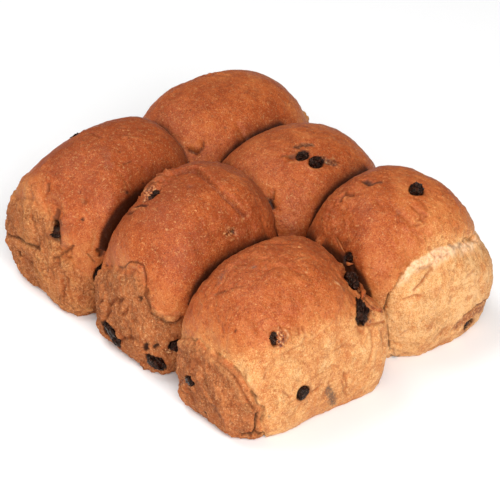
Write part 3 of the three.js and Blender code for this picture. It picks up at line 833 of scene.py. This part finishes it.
def tear_walls(bun, turn, height, bake, patchy, wander, broken):
    """What the torn patches make of a wall: how much of its lip it stands out by, how rough it is, how
    pale its ragged fringe is, how dark the crack over it is, which is painted shade, and how brown all
    of it is, which on the front walls is partly painted shade."""
    push, rough, fringe, crack = (np.zeros(len(height)) for _ in range(4))
    for own_traits in TORN[bun.name]:
        patch = {**USUAL_PATCH, **own_traits}
        depth = bun.below_edge(turn, height, patch["edge"]) + wander
        belly = smooth(0, BELLY_BELOW, depth)
        out = patch["out"] * (1 - belly) + patch["belly"] * belly
        push = np.maximum(push, smooth(-0.6, 2.2, depth) * out)
        rough = np.maximum(rough, patch["rough"] * smooth(-0.3, 1.5, depth))
        crumb_bake = patch["bake"] + 0.8 * patchy
        bake = bake + (crumb_bake - bake) * smooth(-patch["soft"], patch["soft"], depth)
        ragged, thin_below = patch["ragged"], patch["thin_below"]
        frayed = depth + 0.3 * ragged * wander
        edging = smooth(-0.4, 0.5, depth) * (1 - smooth(0.25 * ragged, 1.2 * ragged, frayed))
        edging = edging * (0.25 + 0.75 * smooth(thin_below - THINNING, thin_below, height))
        fringe = np.maximum(fringe, patch["fringe"] * edging * np.maximum(broken, patch["unbroken"]))
        crack = np.maximum(crack, patch["crease"] * bell((depth + 0.2) / 0.5) * broken)
    return push, rough, fringe, crack, bake


def set_raisins(points, fuzz, seed, tones, dents):
    """Adds the raisins' pockets to the tones and dents. The crust opens over each raisin that it doesn't
    cover, and round all of them it is torn and laps up in ragged flaps."""
    torn_round = noise(points, 3.0, seed + 61)
    for node in RAISINS:
        middle, reach, axes = raisin_axes(node)
        place = (points - middle) @ axes / reach
        away = np.linalg.norm(place[:, 1:], axis=1) * (0.85 + 0.15 * fuzz)
        near = (np.abs(place[:, 0]) < 2.4) & (away < 3)
        if node not in COVERED:
            dents += 1.25 * reach[0] * smooth(1.1, 0.88, away) * near
            # Painted shade: the crust is darkened round the rim of the pocket over an open raisin.
            strengthen(tones, "dark", 0.95 * smooth(1.22, 1.04, away) * near)
        lap = bell((away - 1.35) / 0.2) * (0.35 + 0.9 * torn_round)
        dents -= 0.6 * lap * near
        strengthen(tones, "scar", 0.7 * smooth(1.9, 1.15, away) * smooth(-0.4, 0.3, torn_round) * near)
        strengthen(tones, "pale", 0.45 * smooth(0.45, 0.9, lap) * near)


def raise_crown(bun, points, ring, wander, broken, tones, dents):
    """Lifts the raised part of a crown, with a dark line of painted shade along its step."""
    raised = RAISED[bun.name]
    border = np.array([bun.place(*stop)[:2] for stop in raised["border"]])
    inside = depth_inside(points[:, :2], border) + 0.5 * wander
    dents -= raised["height"] * smooth(-0.2, 0.9, inside) * smooth(1.15, 0.75, ring)
    strengthen(tones, "dark", 0.55 * bell((inside + 0.3) / 0.5) * (ring < 0.8) * broken)


def crust_relief(points, seed):
    """Fine bumps, and wrinkles here and there, which run where soft noise passes through zero."""
    wrinkles = 1 - np.minimum(np.abs(noises(points, seed, (1, 7, 14), (0.3, 2.5, 15))) * 5, 1)
    here = smooth(0.0, 0.6, noise(points, 21, seed + 16))
    return noises(points, seed, (0.18, 3.6, 12), (0.15, 1.7, 13), (0.14, 6.5, 17)) - 0.3 * wrinkles * here


def crumb_relief(points, seed):
    """Torn crumb: terraces of soft noise, drawn out upwards, with holes and pores in them. Also how
    deep in its hollows each point is."""
    fibres = points * (1, 1, 0.6)
    relief = (0.9 * stepped(layered(fibres, 10, seed + 20, 3, 0.5), 3.0)
              + 0.7 * stepped(layered(fibres, 4, seed + 24, 2, 0.6), 2.0)
              + 0.5 * noise(points, 1.7, seed + 27) + 0.4 * noise(points, 1.0, seed + 28))
    holes = pits(points, 6, seed + 30, 0.34)
    pores = pits(points, 2.4, seed + 34, 0.4)
    hollow = np.clip(0.25 - 0.55 * relief + 0.6 * holes + 0.6 * pores, 0, 1)
    return relief - 0.9 * holes - 0.4 * pores, hollow


def dough(bun, neighbours):
    """The finished skin of one bun, in steps: the plain skin; the torn walls pushed out to their lips;
    dents and ridges at its marks and round its raisins; lumps, wrinkles and crumb along the normals.
    Its marks say how brown, torn, hollow, pale, dark, scarred, grey and flaked the crust is, and how much
    painted shade its seams get in a fold and in its crevice."""
    turn, ring, quads, fan = skin_grid(bun.half)
    points = bun.skin(turn, ring)
    seed, traits = bun.seed, bun.traits
    tones = {tone: np.zeros(len(points)) for tone in TONES}
    dents = np.zeros(len(points))
    fuzz = 1 + 0.45 * noise(points, 1.7, seed + 60) + 0.25 * noise(points, 0.9, seed + 64)
    lay_marks(bun, points, fuzz, tones, dents)

    wander = noises(points, seed, (1.1, 9, 50), (0.6, 3.2, 51), (0.4, 1.4, 52))
    broken = smooth(-0.35, 0.5, noises(points, seed, (1, 6, 53), (0.5, 2.2, 54)))
    patchy = noises(points, seed, (0.09, 26, 40), (0.08, 9, 41))
    lip = bun.lip(turn)
    over_rim = np.clip(points[:, 2] - bun.rim(turn), 0, None)
    paler = traits["paling"] * (np.exp(-over_rim / traits["fade"]) * smooth(0.0, 0.8, lip))
    push, rough, fringe, crack, bake = tear_walls(
        bun, turn, points[:, 2], traits["bake"] * (1 - paler) + patchy, patchy, wander, broken)
    outward = np.stack([np.cos(turn), np.sin(turn), np.zeros_like(turn)], -1)
    points = points + outward * (push * lip * np.clip(3 - ring, 0, 1))[:, None]

    set_raisins(points, fuzz, seed, tones, dents)
    if bun.name in RAISED:
        raise_crown(bun, points, ring, wander, broken, tones, dents)

    lumps = noises(points, seed, (0.9, 34, 10), (0.4, 14, 11))
    crust = crust_relief(points, seed) * traits["wrinkled"]
    crumb, hollow = crumb_relief(points, seed)
    flaky = noises(points, seed, (0.5, 6, 65), (0.4, 2.6, 66), (0.3, 1.2, 62))
    flakes = noises(points, seed, (0.55, 1.5, 68), (0.35, 0.9, 69))
    on_floor = smooth(1.985, 2.0, ring)
    height = (lumps + crust * (1 - 0.6 * rough) + crumb * rough + fringe * (0.5 + 2.0 * flaky)
              + tones["flaked"] * flakes - 0.6 * crack - dents) * (1 - on_floor)
    points = points + vertex_normals(points, quads, fan) * height[:, None]
    points[:, 2] = np.maximum(points[:, 2], 0)

    # How deep in a seam each point lies sets the painted shade of its crust: the fold and the crevice.
    shade = seam_shade(points, ring, neighbours) + 1.5 * noise(points, 4, seed + 63)
    marks = {
        "bake": np.clip(bake, 0, 1), "torn": rough, "hollow": hollow * rough, "flaked": tones["flaked"],
        "pale": np.maximum(fringe, 0.65 * tones["pale"]), "scar": tones["scar"], "grey": tones["grey"],
        "dark": np.maximum(crack, tones["dark"]),
        "fold": smooth(*FOLD_SHADE, shade), "painted_crevice_shade": smooth(*CREVICE_SHADE, shade)}
    return mesh_object(bun.name.replace("bun", "dough"), points, quads, fan, marks)


# ---------------------------------------------------------------- raisins

RAISIN_ROWS = 46
RAISIN_COLUMNS = 68


def raisin_mesh(name, node, seed):
    """A wrinkled raisin that fills its solid's box: an ellipsoid, dented all over, whose skin is drawn
    in between ridges, which run where soft noise passes through zero."""
    middle, reach, axes = raisin_axes(node)
    tilt = np.linspace(0, np.pi, RAISIN_ROWS + 1)[1:-1]
    turn = np.linspace(0, 2 * np.pi, RAISIN_COLUMNS, endpoint=False)
    tilt, turn = np.meshgrid(tilt, turn, indexing="ij")
    ball = np.stack([np.cos(tilt), np.sin(tilt) * np.cos(turn), np.sin(tilt) * np.sin(turn)], -1)
    ball = np.vstack([ball.reshape(-1, 3), [[1, 0, 0], [-1, 0, 0]]])
    stretched = ball * (0.6, 1, 1)
    broad = 1 - np.minimum(np.abs(noise(stretched, 0.55, seed)) * 2.6, 1)
    fine = 1 - np.minimum(np.abs(noise(stretched, 0.27, seed + 1)) * 2.4, 1)
    dented = noise(ball, 0.9, seed + 2)
    shape = ball * (0.76 + 0.26 * broad + 0.2 * fine + 0.3 * dented)[:, None]
    points = middle + (shape * reach[::-1]) @ axes[:, ::-1].T
    index = np.arange((RAISIN_ROWS - 1) * RAISIN_COLUMNS).reshape(RAISIN_ROWS - 1, RAISIN_COLUMNS)
    top, bottom = len(points) - 2, len(points) - 1
    first, last = index[0], index[-1]
    fans = np.vstack([
        np.stack([np.full(RAISIN_COLUMNS, top), first, np.roll(first, -1)], -1),
        loop_fan(last, bottom)])
    return mesh_object(name, points, loop_quads(index), fans, {})


# ---------------------------------------------------------------- torn strips

# Strips of dough torn between two buns, over their raisins: the bun they lie on, their path as
# (turn in degrees, ring, height over the skin), width, and how brown and scarred they are.
STRIPS = {
    "torn_strip_over": ("bun_front_right", (
        (73, 0.925, 1.5), (61, 0.905, 2.2), (53, 0.910, 2.2), (50, 0.915, 1.0)), 3.0, 0.8, 0.3),
    "torn_strip_across": ("bun_front_right", (
        (52, 0.890, 0.5), (49, 0.920, 2.0), (48, 0.950, 2.4), (48, 0.970, 2.2), (48, 0.975, 0.8)),
        2.3, 0.6, 0.4),
    "torn_strip_edge": ("bun_front_right", (
        (54, 0.920, 1.5), (51, 0.950, 2.0), (51, 0.975, 2.0), (55, 0.995, 1.0)), 2.2, 0.55, 0.2),
    "torn_strip_low": ("bun_front_right", (
        (50, 0.965, 0.3), (52, 0.985, 1.6), (55, 1.0, 0.3)), 2.2, 0.85, 0.8),
    "torn_stalk": ("bun_back_right", (
        (263, 0.850, 0.2), (271, 0.870, 0.8), (277, 0.890, 0.3)), 0.8, 0.6, 0.3),
    "torn_web": ("bun_back_right", (
        (281, 0.920, 0.3), (284, 0.920, 1.2), (288, 0.910, 0.3)), 1.7, 0.7, 0.4),
}
STRIP_ROWS = 40
STRIP_COLUMNS = 14
BENDING_PASSES = 60


def unit(vectors):
    """Vectors made one long."""
    return vectors / np.linalg.norm(vectors, axis=1, keepdims=True)


def bent_line(stops):
    """Equal shares of a path through stops, and its points there, smoothed many times with its ends held."""
    share = np.linspace(0, 1, STRIP_ROWS + 1)
    at_stops = np.linspace(0, 1, len(stops))
    line = np.stack([np.interp(share, at_stops, stops[:, axis]) for axis in range(3)], -1)
    for _ in range(BENDING_PASSES):
        line[1:-1] = (line[:-2] + 2 * line[1:-1] + line[2:]) / 4
    return share, line


def strip_mesh(name, seed):
    """A torn strip: a flat tube along its path, which is bent smoothly between its stops. Its width goes
    from its ends to its middle as a half sine, it rolls over as it goes, and small lumps cover it."""
    bun_name, path, width, bake, scar = STRIPS[name]
    bun = Bun(bun_name, 0)
    stops = np.array([bun.place(turn, ring) + lift * bun.outward(turn, ring) for turn, ring, lift in path])
    share, line = bent_line(stops)
    tangent = unit(np.gradient(line, axis=0))
    side = unit(np.cross(tangent, bun.outward(*path[len(path) // 2][:2])))
    over = np.cross(side, tangent)

    roll = (1.6 * (share - 0.5) + 0.8 * noise(line, 3.0, seed))[:, None]
    round_it = np.linspace(0, 2 * np.pi, STRIP_COLUMNS, endpoint=False)
    half = width / 2 * (0.25 + 0.75 * np.sin(np.pi * share))[:, None]
    flat, thin = half * np.cos(round_it), 0.5 * half * np.sin(round_it)
    turned_flat = flat * np.cos(roll) - thin * np.sin(roll)
    turned_thin = flat * np.sin(roll) + thin * np.cos(roll)
    points = line[:, None] + side[:, None] * turned_flat[..., None] + over[:, None] * turned_thin[..., None]
    points = points.reshape(-1, 3)
    away = points - np.repeat(line, STRIP_COLUMNS, 0)
    points = points + away * noises(points, seed, (0.3, 1.6, 1), (0.15, 0.8, 2))[:, None]
    points = np.vstack([points, line[:1], line[-1:]])

    index = np.arange((STRIP_ROWS + 1) * STRIP_COLUMNS).reshape(STRIP_ROWS + 1, STRIP_COLUMNS)
    upper, lower = index[:-1], index[1:]
    quads = np.stack([upper, np.roll(upper, -1, 1), np.roll(lower, -1, 1), lower], -1).reshape(-1, 4)
    first, last, start, end = index[0], index[-1], len(points) - 2, len(points) - 1
    fans = np.vstack([
        np.stack([np.full(STRIP_COLUMNS, start), np.roll(first, -1), first], -1),
        np.stack([last, np.roll(last, -1), np.full(STRIP_COLUMNS, end)], -1)])
    crisp = np.clip(0.5 + noise(points, 1.6, seed + 3), 0, 1)
    return mesh_object(name, points, quads, fans, {
        "bake": np.full(len(points), bake), "scar": scar * crisp, "dark": 0.35 * crisp})


# ---------------------------------------------------------------- materials

def linear(hex_colour):
    """An sRGB hex colour as linear red, green, blue and an alpha of 1."""
    parts = [int(hex_colour[i:i + 2], 16) / 255 for i in (1, 3, 5)]
    return [p / 12.92 if p <= 0.04045 else ((p + 0.055) / 1.055)**2.4 for p in parts] + [1.0]


def add_node(tree, kind, inputs=None, **settings):
    """Adds a node, sets its properties, and links or sets its inputs by name or number."""
    node = tree.nodes.new(kind)
    for setting, value in settings.items():
        setattr(node, setting, value)
    for socket, value in (inputs or {}).items():
        if isinstance(value, bpy.types.NodeSocket):
            tree.links.new(value, node.inputs[socket])
        else:
            node.inputs[socket].default_value = value
    return node


def new_material(name):
    """An empty node material and its tree."""
    material = bpy.data.materials.new(name)
    material.use_nodes = True
    material.node_tree.nodes.clear()
    return material, material.node_tree


def object_place(tree):
    """The place of each point on its object, in metres."""
    return add_node(tree, "ShaderNodeTexCoord").outputs["Object"]


def add_surface(tree, inputs):
    """Adds the shader, with its inputs, and the output."""
    shader = add_node(tree, "ShaderNodeBsdfPrincipled", inputs)
    add_node(tree, "ShaderNodeOutputMaterial", {"Surface": shader.outputs[0]})


def bumped(tree, height, strength, distance):
    """The normal of a surface with a fine relief."""
    return add_node(tree, "ShaderNodeBump", {
        "Height": height, "Strength": strength, "Distance": distance}).outputs["Normal"]


def colour_ramp(tree, factor, stops):
    """The colour at a factor between hex colours at their places."""
    node = add_node(tree, "ShaderNodeValToRGB", {"Fac": factor})
    elements = node.color_ramp.elements
    while len(elements) < len(stops):
        elements.new(0.5)
    for element, (place, colour) in zip(elements, stops.items()):
        element.position, element.color = place, linear(colour)
    return node.outputs["Color"]


def mixed(tree, factor, first, second):
    """Two colours mixed, the second as strong as the factor."""
    return add_node(tree, "ShaderNodeMix", {"Factor": factor, "A": first, "B": second},
                    data_type="RGBA").outputs["Result"]


def tinted(tree, colour, share, tint):
    """A colour with a share of a hex tint mixed in."""
    return mixed(tree, share, colour, linear(tint))


def scaled(tree, value, by):
    """A value multiplied by a number or by another value."""
    return add_node(tree, "ShaderNodeMath", {0: value, 1: by}, operation="MULTIPLY").outputs[0]


def summed(tree, *values):
    """The sum of values, some of which are sockets."""
    total = values[0]
    for value in values[1:]:
        total = add_node(tree, "ShaderNodeMath", {0: total, 1: value}, operation="ADD").outputs[0]
    return total


def spread(tree, value, low, high, strength=1.0):
    """A value read between low and high as 0 to the strength; low may be the greater."""
    return add_node(tree, "ShaderNodeMapRange", {
        "Value": value, "From Min": low, "From Max": high, "To Min": 0.0, "To Max": strength}).outputs[0]


def cloud(tree, place, per_metre, detail=2.0, roughness=0.5, distortion=0.0):
    """Soft noise with so many lumps to the metre."""
    return add_node(tree, "ShaderNodeTexNoise", {
        "Vector": place, "Scale": per_metre, "Detail": detail, "Roughness": roughness,
        "Distortion": distortion}).outputs["Fac"]


def thin_lines(tree, value, edge, core):
    """Lines where a soft value passes through its middle, a half: full within `core` of it, gone at
    `edge`."""
    off_middle = add_node(tree, "ShaderNodeMath", {0: summed(tree, value, -0.5)}, operation="ABSOLUTE")
    return spread(tree, off_middle.outputs[0], edge, core)


def crumb_and_crust(tree, place, marks, grit):
    """The colour of plain dough, by how much it has baked, and of torn crumb, with its tears. Also the
    tears by themselves."""
    bake, torn = marks["bake"], marks["torn"]
    mottle = summed(tree, cloud(tree, place, 150, 6, 0.75), -0.5)
    grain = scaled(tree, summed(tree, cloud(tree, place, 2100, 2, 0.65), -0.5), 1.1)
    blotch = scaled(tree, summed(tree, cloud(tree, place, 380, 5, 0.75, 0.6), -0.49), 0.75)
    blotch = scaled(tree, blotch, spread(tree, bake, 0.5, 0.2))
    # The hollows of torn crumb are browned further, as painted shade.
    browning = summed(tree, bake, mottle, grain, blotch, scaled(tree, marks["hollow"], 0.5))
    colour = colour_ramp(tree, browning, {
        0.0: "#e8b680", 0.1: "#dda669", 0.25: "#cf8f55", 0.42: "#be733c", 0.65: "#b5602f", 0.85: "#a44d22",
        1.0: "#8c3c18"})
    colour = tinted(tree, colour, scaled(tree, torn, 0.35), "#b07a4a")
    for low, high, strength, tint in ((0.45, 0.36, 0.5, "#7c3c16"), (0.56, 0.66, 0.45, "#e6b884")):
        colour = tinted(tree, colour, scaled(tree, spread(tree, grit, low, high, strength), torn), tint)
    tear = scaled(tree, thin_lines(tree, cloud(tree, place, 230, 4, 0.65, 1.5), 0.02, 0.004),
                  spread(tree, cloud(tree, place, 110, 1), 0.48, 0.56))
    tear = scaled(tree, tear, torn)
    return tinted(tree, colour, scaled(tree, tear, 0.7), "#7a3413"), tear


def with_bran(tree, place, bake, colour):
    """A colour with bran, stains and specks in it. Bran lies in short curls: thin lines along the middle
    of soft noise, broken up by another. Also the curls by themselves."""
    here = spread(tree, cloud(tree, place, 520, 0), 0.52, 0.62)
    curl = scaled(tree, thin_lines(tree, cloud(tree, place, 600, 1, 0.5, 0.6), 0.022, 0.006), here)
    colour = tinted(tree, colour, scaled(tree, curl, 0.34), "#edba7c")
    fleck = spread(tree, cloud(tree, place, 1150, 2, 0.5, 1.0), 0.60, 0.74, 0.38)
    colour = tinted(tree, colour, fleck, "#e8ae6c")
    bran = spread(tree, cloud(tree, place, 1450, 2, 0.6), 0.57, 0.66, 0.5)
    unbaked = spread(tree, bake, 0.5, 0.2)
    bran = scaled(tree, bran, summed(tree, scaled(tree, unbaked, 0.7), 0.2))
    colour = tinted(tree, colour, bran, "#efc393")
    stain = spread(tree, cloud(tree, place, 170, 5, 0.72, 0.8), 0.54, 0.66, 0.4)
    colour = tinted(tree, colour, stain, "#9c4519")
    speck = spread(tree, cloud(tree, place, 950, 2), 0.37, 0.29, 0.6)
    browned = spread(tree, bake, 0.1, 0.5)
    speck = scaled(tree, speck, summed(tree, scaled(tree, browned, 0.6), 0.4))
    return tinted(tree, colour, speck, "#5e2610"), curl


def with_marks(tree, place, marks, colour):
    """A colour with fine wrinkles, and with what the marks of the crust make of it, from the scars to the
    painted shade of the seams. Also the wrinkles by themselves."""
    wrinkle = scaled(tree, thin_lines(tree, cloud(tree, place, 210, 2, 0.6, 1.2), 0.016, 0.004),
                     spread(tree, cloud(tree, place, 120, 1), 0.5, 0.62))
    colour = tinted(tree, colour, scaled(tree, wrinkle, 0.45), "#8e431b")
    colour = tinted(tree, colour, scaled(tree, marks["scar"], 0.7), "#8e431b")

    # Torn edges are made of flakes, so their paleness comes and goes within a millimetre or two.
    flakes = spread(tree, cloud(tree, place, 700, 3, 0.6), 0.36, 0.58)
    paler = scaled(tree, marks["pale"], summed(tree, scaled(tree, flakes, 0.7), 0.25))
    pale_tint = tinted(tree, linear("#dc9f62"), spread(tree, marks["pale"], 0.3, 0.8), "#f3cda6")
    colour = mixed(tree, paler, colour, pale_tint)

    # A raisin under the skin shows as a grey stipple.
    stipple = spread(tree, cloud(tree, place, 1300, 2), 0.36, 0.56)
    smudge = scaled(tree, marks["grey"], stipple)
    colour = tinted(tree, colour, scaled(tree, smudge, 0.8), "#5e4c44")

    # Flaked crust is a mixture of chips, from burnt to blond, and a few violet ones off a raisin.
    chips = colour_ramp(tree, cloud(tree, place, 900, 3, 0.65), {
        0.32: "#2a120a", 0.43: "#6b3015", 0.51: "#a4562a", 0.6: "#d29a64", 0.7: "#ecc795"})
    violet = spread(tree, cloud(tree, place, 1500, 1), 0.6, 0.66, 0.7)
    colour = mixed(tree, marks["flaked"], colour, tinted(tree, chips, violet, "#5b5358"))
    # Painted shade: the fold and the crevice of each seam, and the dark tone of the marks.
    for mark_name, strength, tint in (
            ("fold", 0.4, "#5c240c"), ("painted_crevice_shade", 0.85, "#1c0903"), ("dark", 0.92, "#1a0b06")):
        colour = tinted(tree, colour, scaled(tree, marks[mark_name], strength), tint)
    return colour, wrinkle


def baked_crust():
    """Egg-washed dough with bran in it: satin red-brown where it baked most, golden tan where it was
    shaded, short pale curls of bran all over; torn crumb is matt, and browner in its hollows, a painted
    shade."""
    material, tree = new_material("baked_crust")
    place = object_place(tree)
    marks = {
        name: add_node(tree, "ShaderNodeAttribute", attribute_name=name).outputs["Fac"]
        for name in ("bake", "torn", "hollow", "fold", "painted_crevice_shade") + TONES}
    torn = marks["torn"]
    grit = cloud(tree, place, 1100, 3, 0.75)
    colour, tear = crumb_and_crust(tree, place, marks, grit)
    colour, curl = with_bran(tree, place, marks["bake"], colour)
    colour, wrinkle = with_marks(tree, place, marks, colour)

    fine = cloud(tree, place, 1000, 4, 0.6)
    coarse = cloud(tree, place, 330, 3, 0.6)
    height = summed(tree, scaled(tree, fine, 0.45), scaled(tree, coarse, 0.8), scaled(tree, curl, 0.08),
                    scaled(tree, wrinkle, -0.25), scaled(tree, tear, -0.6), scaled(tree, grit, torn))
    roughness = add_node(tree, "ShaderNodeMapRange", {"Value": torn, "To Min": 0.5, "To Max": 0.85})
    add_surface(tree, {
        "Base Color": colour, "Roughness": roughness.outputs[0], "Specular IOR Level": 0.18,
        "Normal": bumped(tree, height, 0.7, 0.0008)})
    return material


def dried_grape():
    """Raisin: a sun-dried grape, near black, wrinkled, with a dull waxy shine on its ridges, and glints
    painted along some of them.
    """
    material, tree = new_material("dried_grape")
    place = object_place(tree)
    bloom = cloud(tree, place, 700, 4, 0.6)
    colour = colour_ramp(tree, bloom, {0.3: "#080202", 0.5: "#180704", 0.62: "#331309", 0.76: "#57301f"})
    ridge = thin_lines(tree, cloud(tree, place, 520, 2, 0.5, 1.0), 0.03, 0.006)
    # Painted highlight: pale glints along some of the ridges.
    painted_glint = scaled(tree, ridge, spread(tree, cloud(tree, place, 420, 1), 0.48, 0.56))
    colour = tinted(tree, colour, scaled(tree, painted_glint, 0.5), "#85665a")
    relief = summed(tree, bloom, scaled(tree, ridge, 0.6))
    add_surface(tree, {
        "Base Color": colour, "Roughness": 0.16, "Specular IOR Level": 0.3,
        "Specular Tint": linear("#f0cdb0"), "Normal": bumped(tree, relief, 0.9, 0.0007)})
    return material


def table_paint():
    """Matt white laminate: plain and pale, so the floor stays out of the way."""
    material, tree = new_material("white_table")
    add_surface(tree, {"Base Color": linear("#fafafa"), "Roughness": 0.9, "Specular IOR Level": 0.1})
    return material


# ---------------------------------------------------------------- camera, floor and light

# The camera looks at AIM from its compass turn, its rise and its distance, and its view has this width
# there. Lengths are in millimetres.
AIM = (7.8, -6.0, 28.5)
CAMERA_TURN, CAMERA_RISE = 51.4, 32.5
CAMERA_DISTANCE = 1121.0
FRAME_WIDTH_AT_AIM = 225.0

# The half width of the floor, and the size and distance of the lamps, in metres. Each lamp has its
# compass turn, its rise and its power in watts.
FLOOR_REACH = 6.0
LAMP_DISTANCE, LAMP_SIZE = 1.6, 1.0
LAMPS = {"key": (68, 36, 26), "front": (40, 36, 5), "left": (5, 30, 2.5), "top": (-60, 62, 14)}
SURROUND_STRENGTH = 0.15


def looking(turn, rise):
    """The unit vector from the object back to a camera or lamp, from its compass turn and its rise."""
    a, e = math.radians(turn), math.radians(rise)
    return np.array([math.sin(a) * math.cos(e), -math.cos(a) * math.cos(e), math.sin(e)])


def set_up(name, data, place, back):
    """A camera or lamp at a place in metres, which looks against the vector `back`."""
    item = bpy.data.objects.new(name, data)
    bpy.context.scene.collection.objects.link(item)
    item.location = place
    item.rotation_mode = "QUATERNION"
    item.rotation_quaternion = Vector(-back).to_track_quat("-Z", "Y")
    return item


def set_camera():
    """The camera: how long its lens is follows from its distance and from the width of its view."""
    data = bpy.data.cameras.new("camera")
    data.lens = data.sensor_width * CAMERA_DISTANCE / FRAME_WIDTH_AT_AIM
    data.clip_start, data.clip_end = 0.05, 20
    back = looking(CAMERA_TURN, CAMERA_RISE)
    place = (np.array(AIM) + back * CAMERA_DISTANCE) * MM
    bpy.context.scene.camera = set_up("camera", data, place, back)


def studio():
    """A wide pale floor, a pale surround, and square soft lamps that face the middle of the object."""
    r = FLOOR_REACH
    mesh = bpy.data.meshes.new("floor")
    mesh.from_pydata([(-r, -r, 0), (r, -r, 0), (r, r, 0), (-r, r, 0)], [], [(0, 1, 2, 3)])
    floor = bpy.data.objects.new("floor", mesh)
    bpy.context.scene.collection.objects.link(floor)
    mesh.materials.append(table_paint())
    world = bpy.data.worlds.new("pale_surround")
    world.use_nodes = True
    background = world.node_tree.nodes["Background"]
    background.inputs["Color"].default_value = (1, 1, 1, 1)
    background.inputs["Strength"].default_value = SURROUND_STRENGTH
    bpy.context.scene.world = world
    for name, (turn, rise, watts) in LAMPS.items():
        data = bpy.data.lights.new(name, "AREA")
        data.shape, data.size, data.energy = "SQUARE", LAMP_SIZE, watts
        back = looking(turn, rise)
        set_up(name, data, back * LAMP_DISTANCE, back)


# ---------------------------------------------------------------- the batch

set_camera()
studio()
bpy.context.scene.view_settings.view_transform = "Standard"

crust = baked_crust()
buns = [Bun(name, 100 * number + 7) for number, name in enumerate(BUNS)]
for bun in buns:
    piece = dough(bun, [other for other in buns if other is not bun])
    piece.data.materials.append(crust)
    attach(piece, "root")
    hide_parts(bun.name)

for number, name in enumerate(STRIPS):
    piece = strip_mesh(name, 1500 + 5 * number)
    piece.data.materials.append(crust)
    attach(piece, "root")

grape = dried_grape()
for number, node in enumerate(RAISINS):
    piece = raisin_mesh(node.replace("raisin", "dried_fruit"), node, 900 + 5 * number)
    piece.data.materials.append(grape)
    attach(piece, "root")
    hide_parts(node)
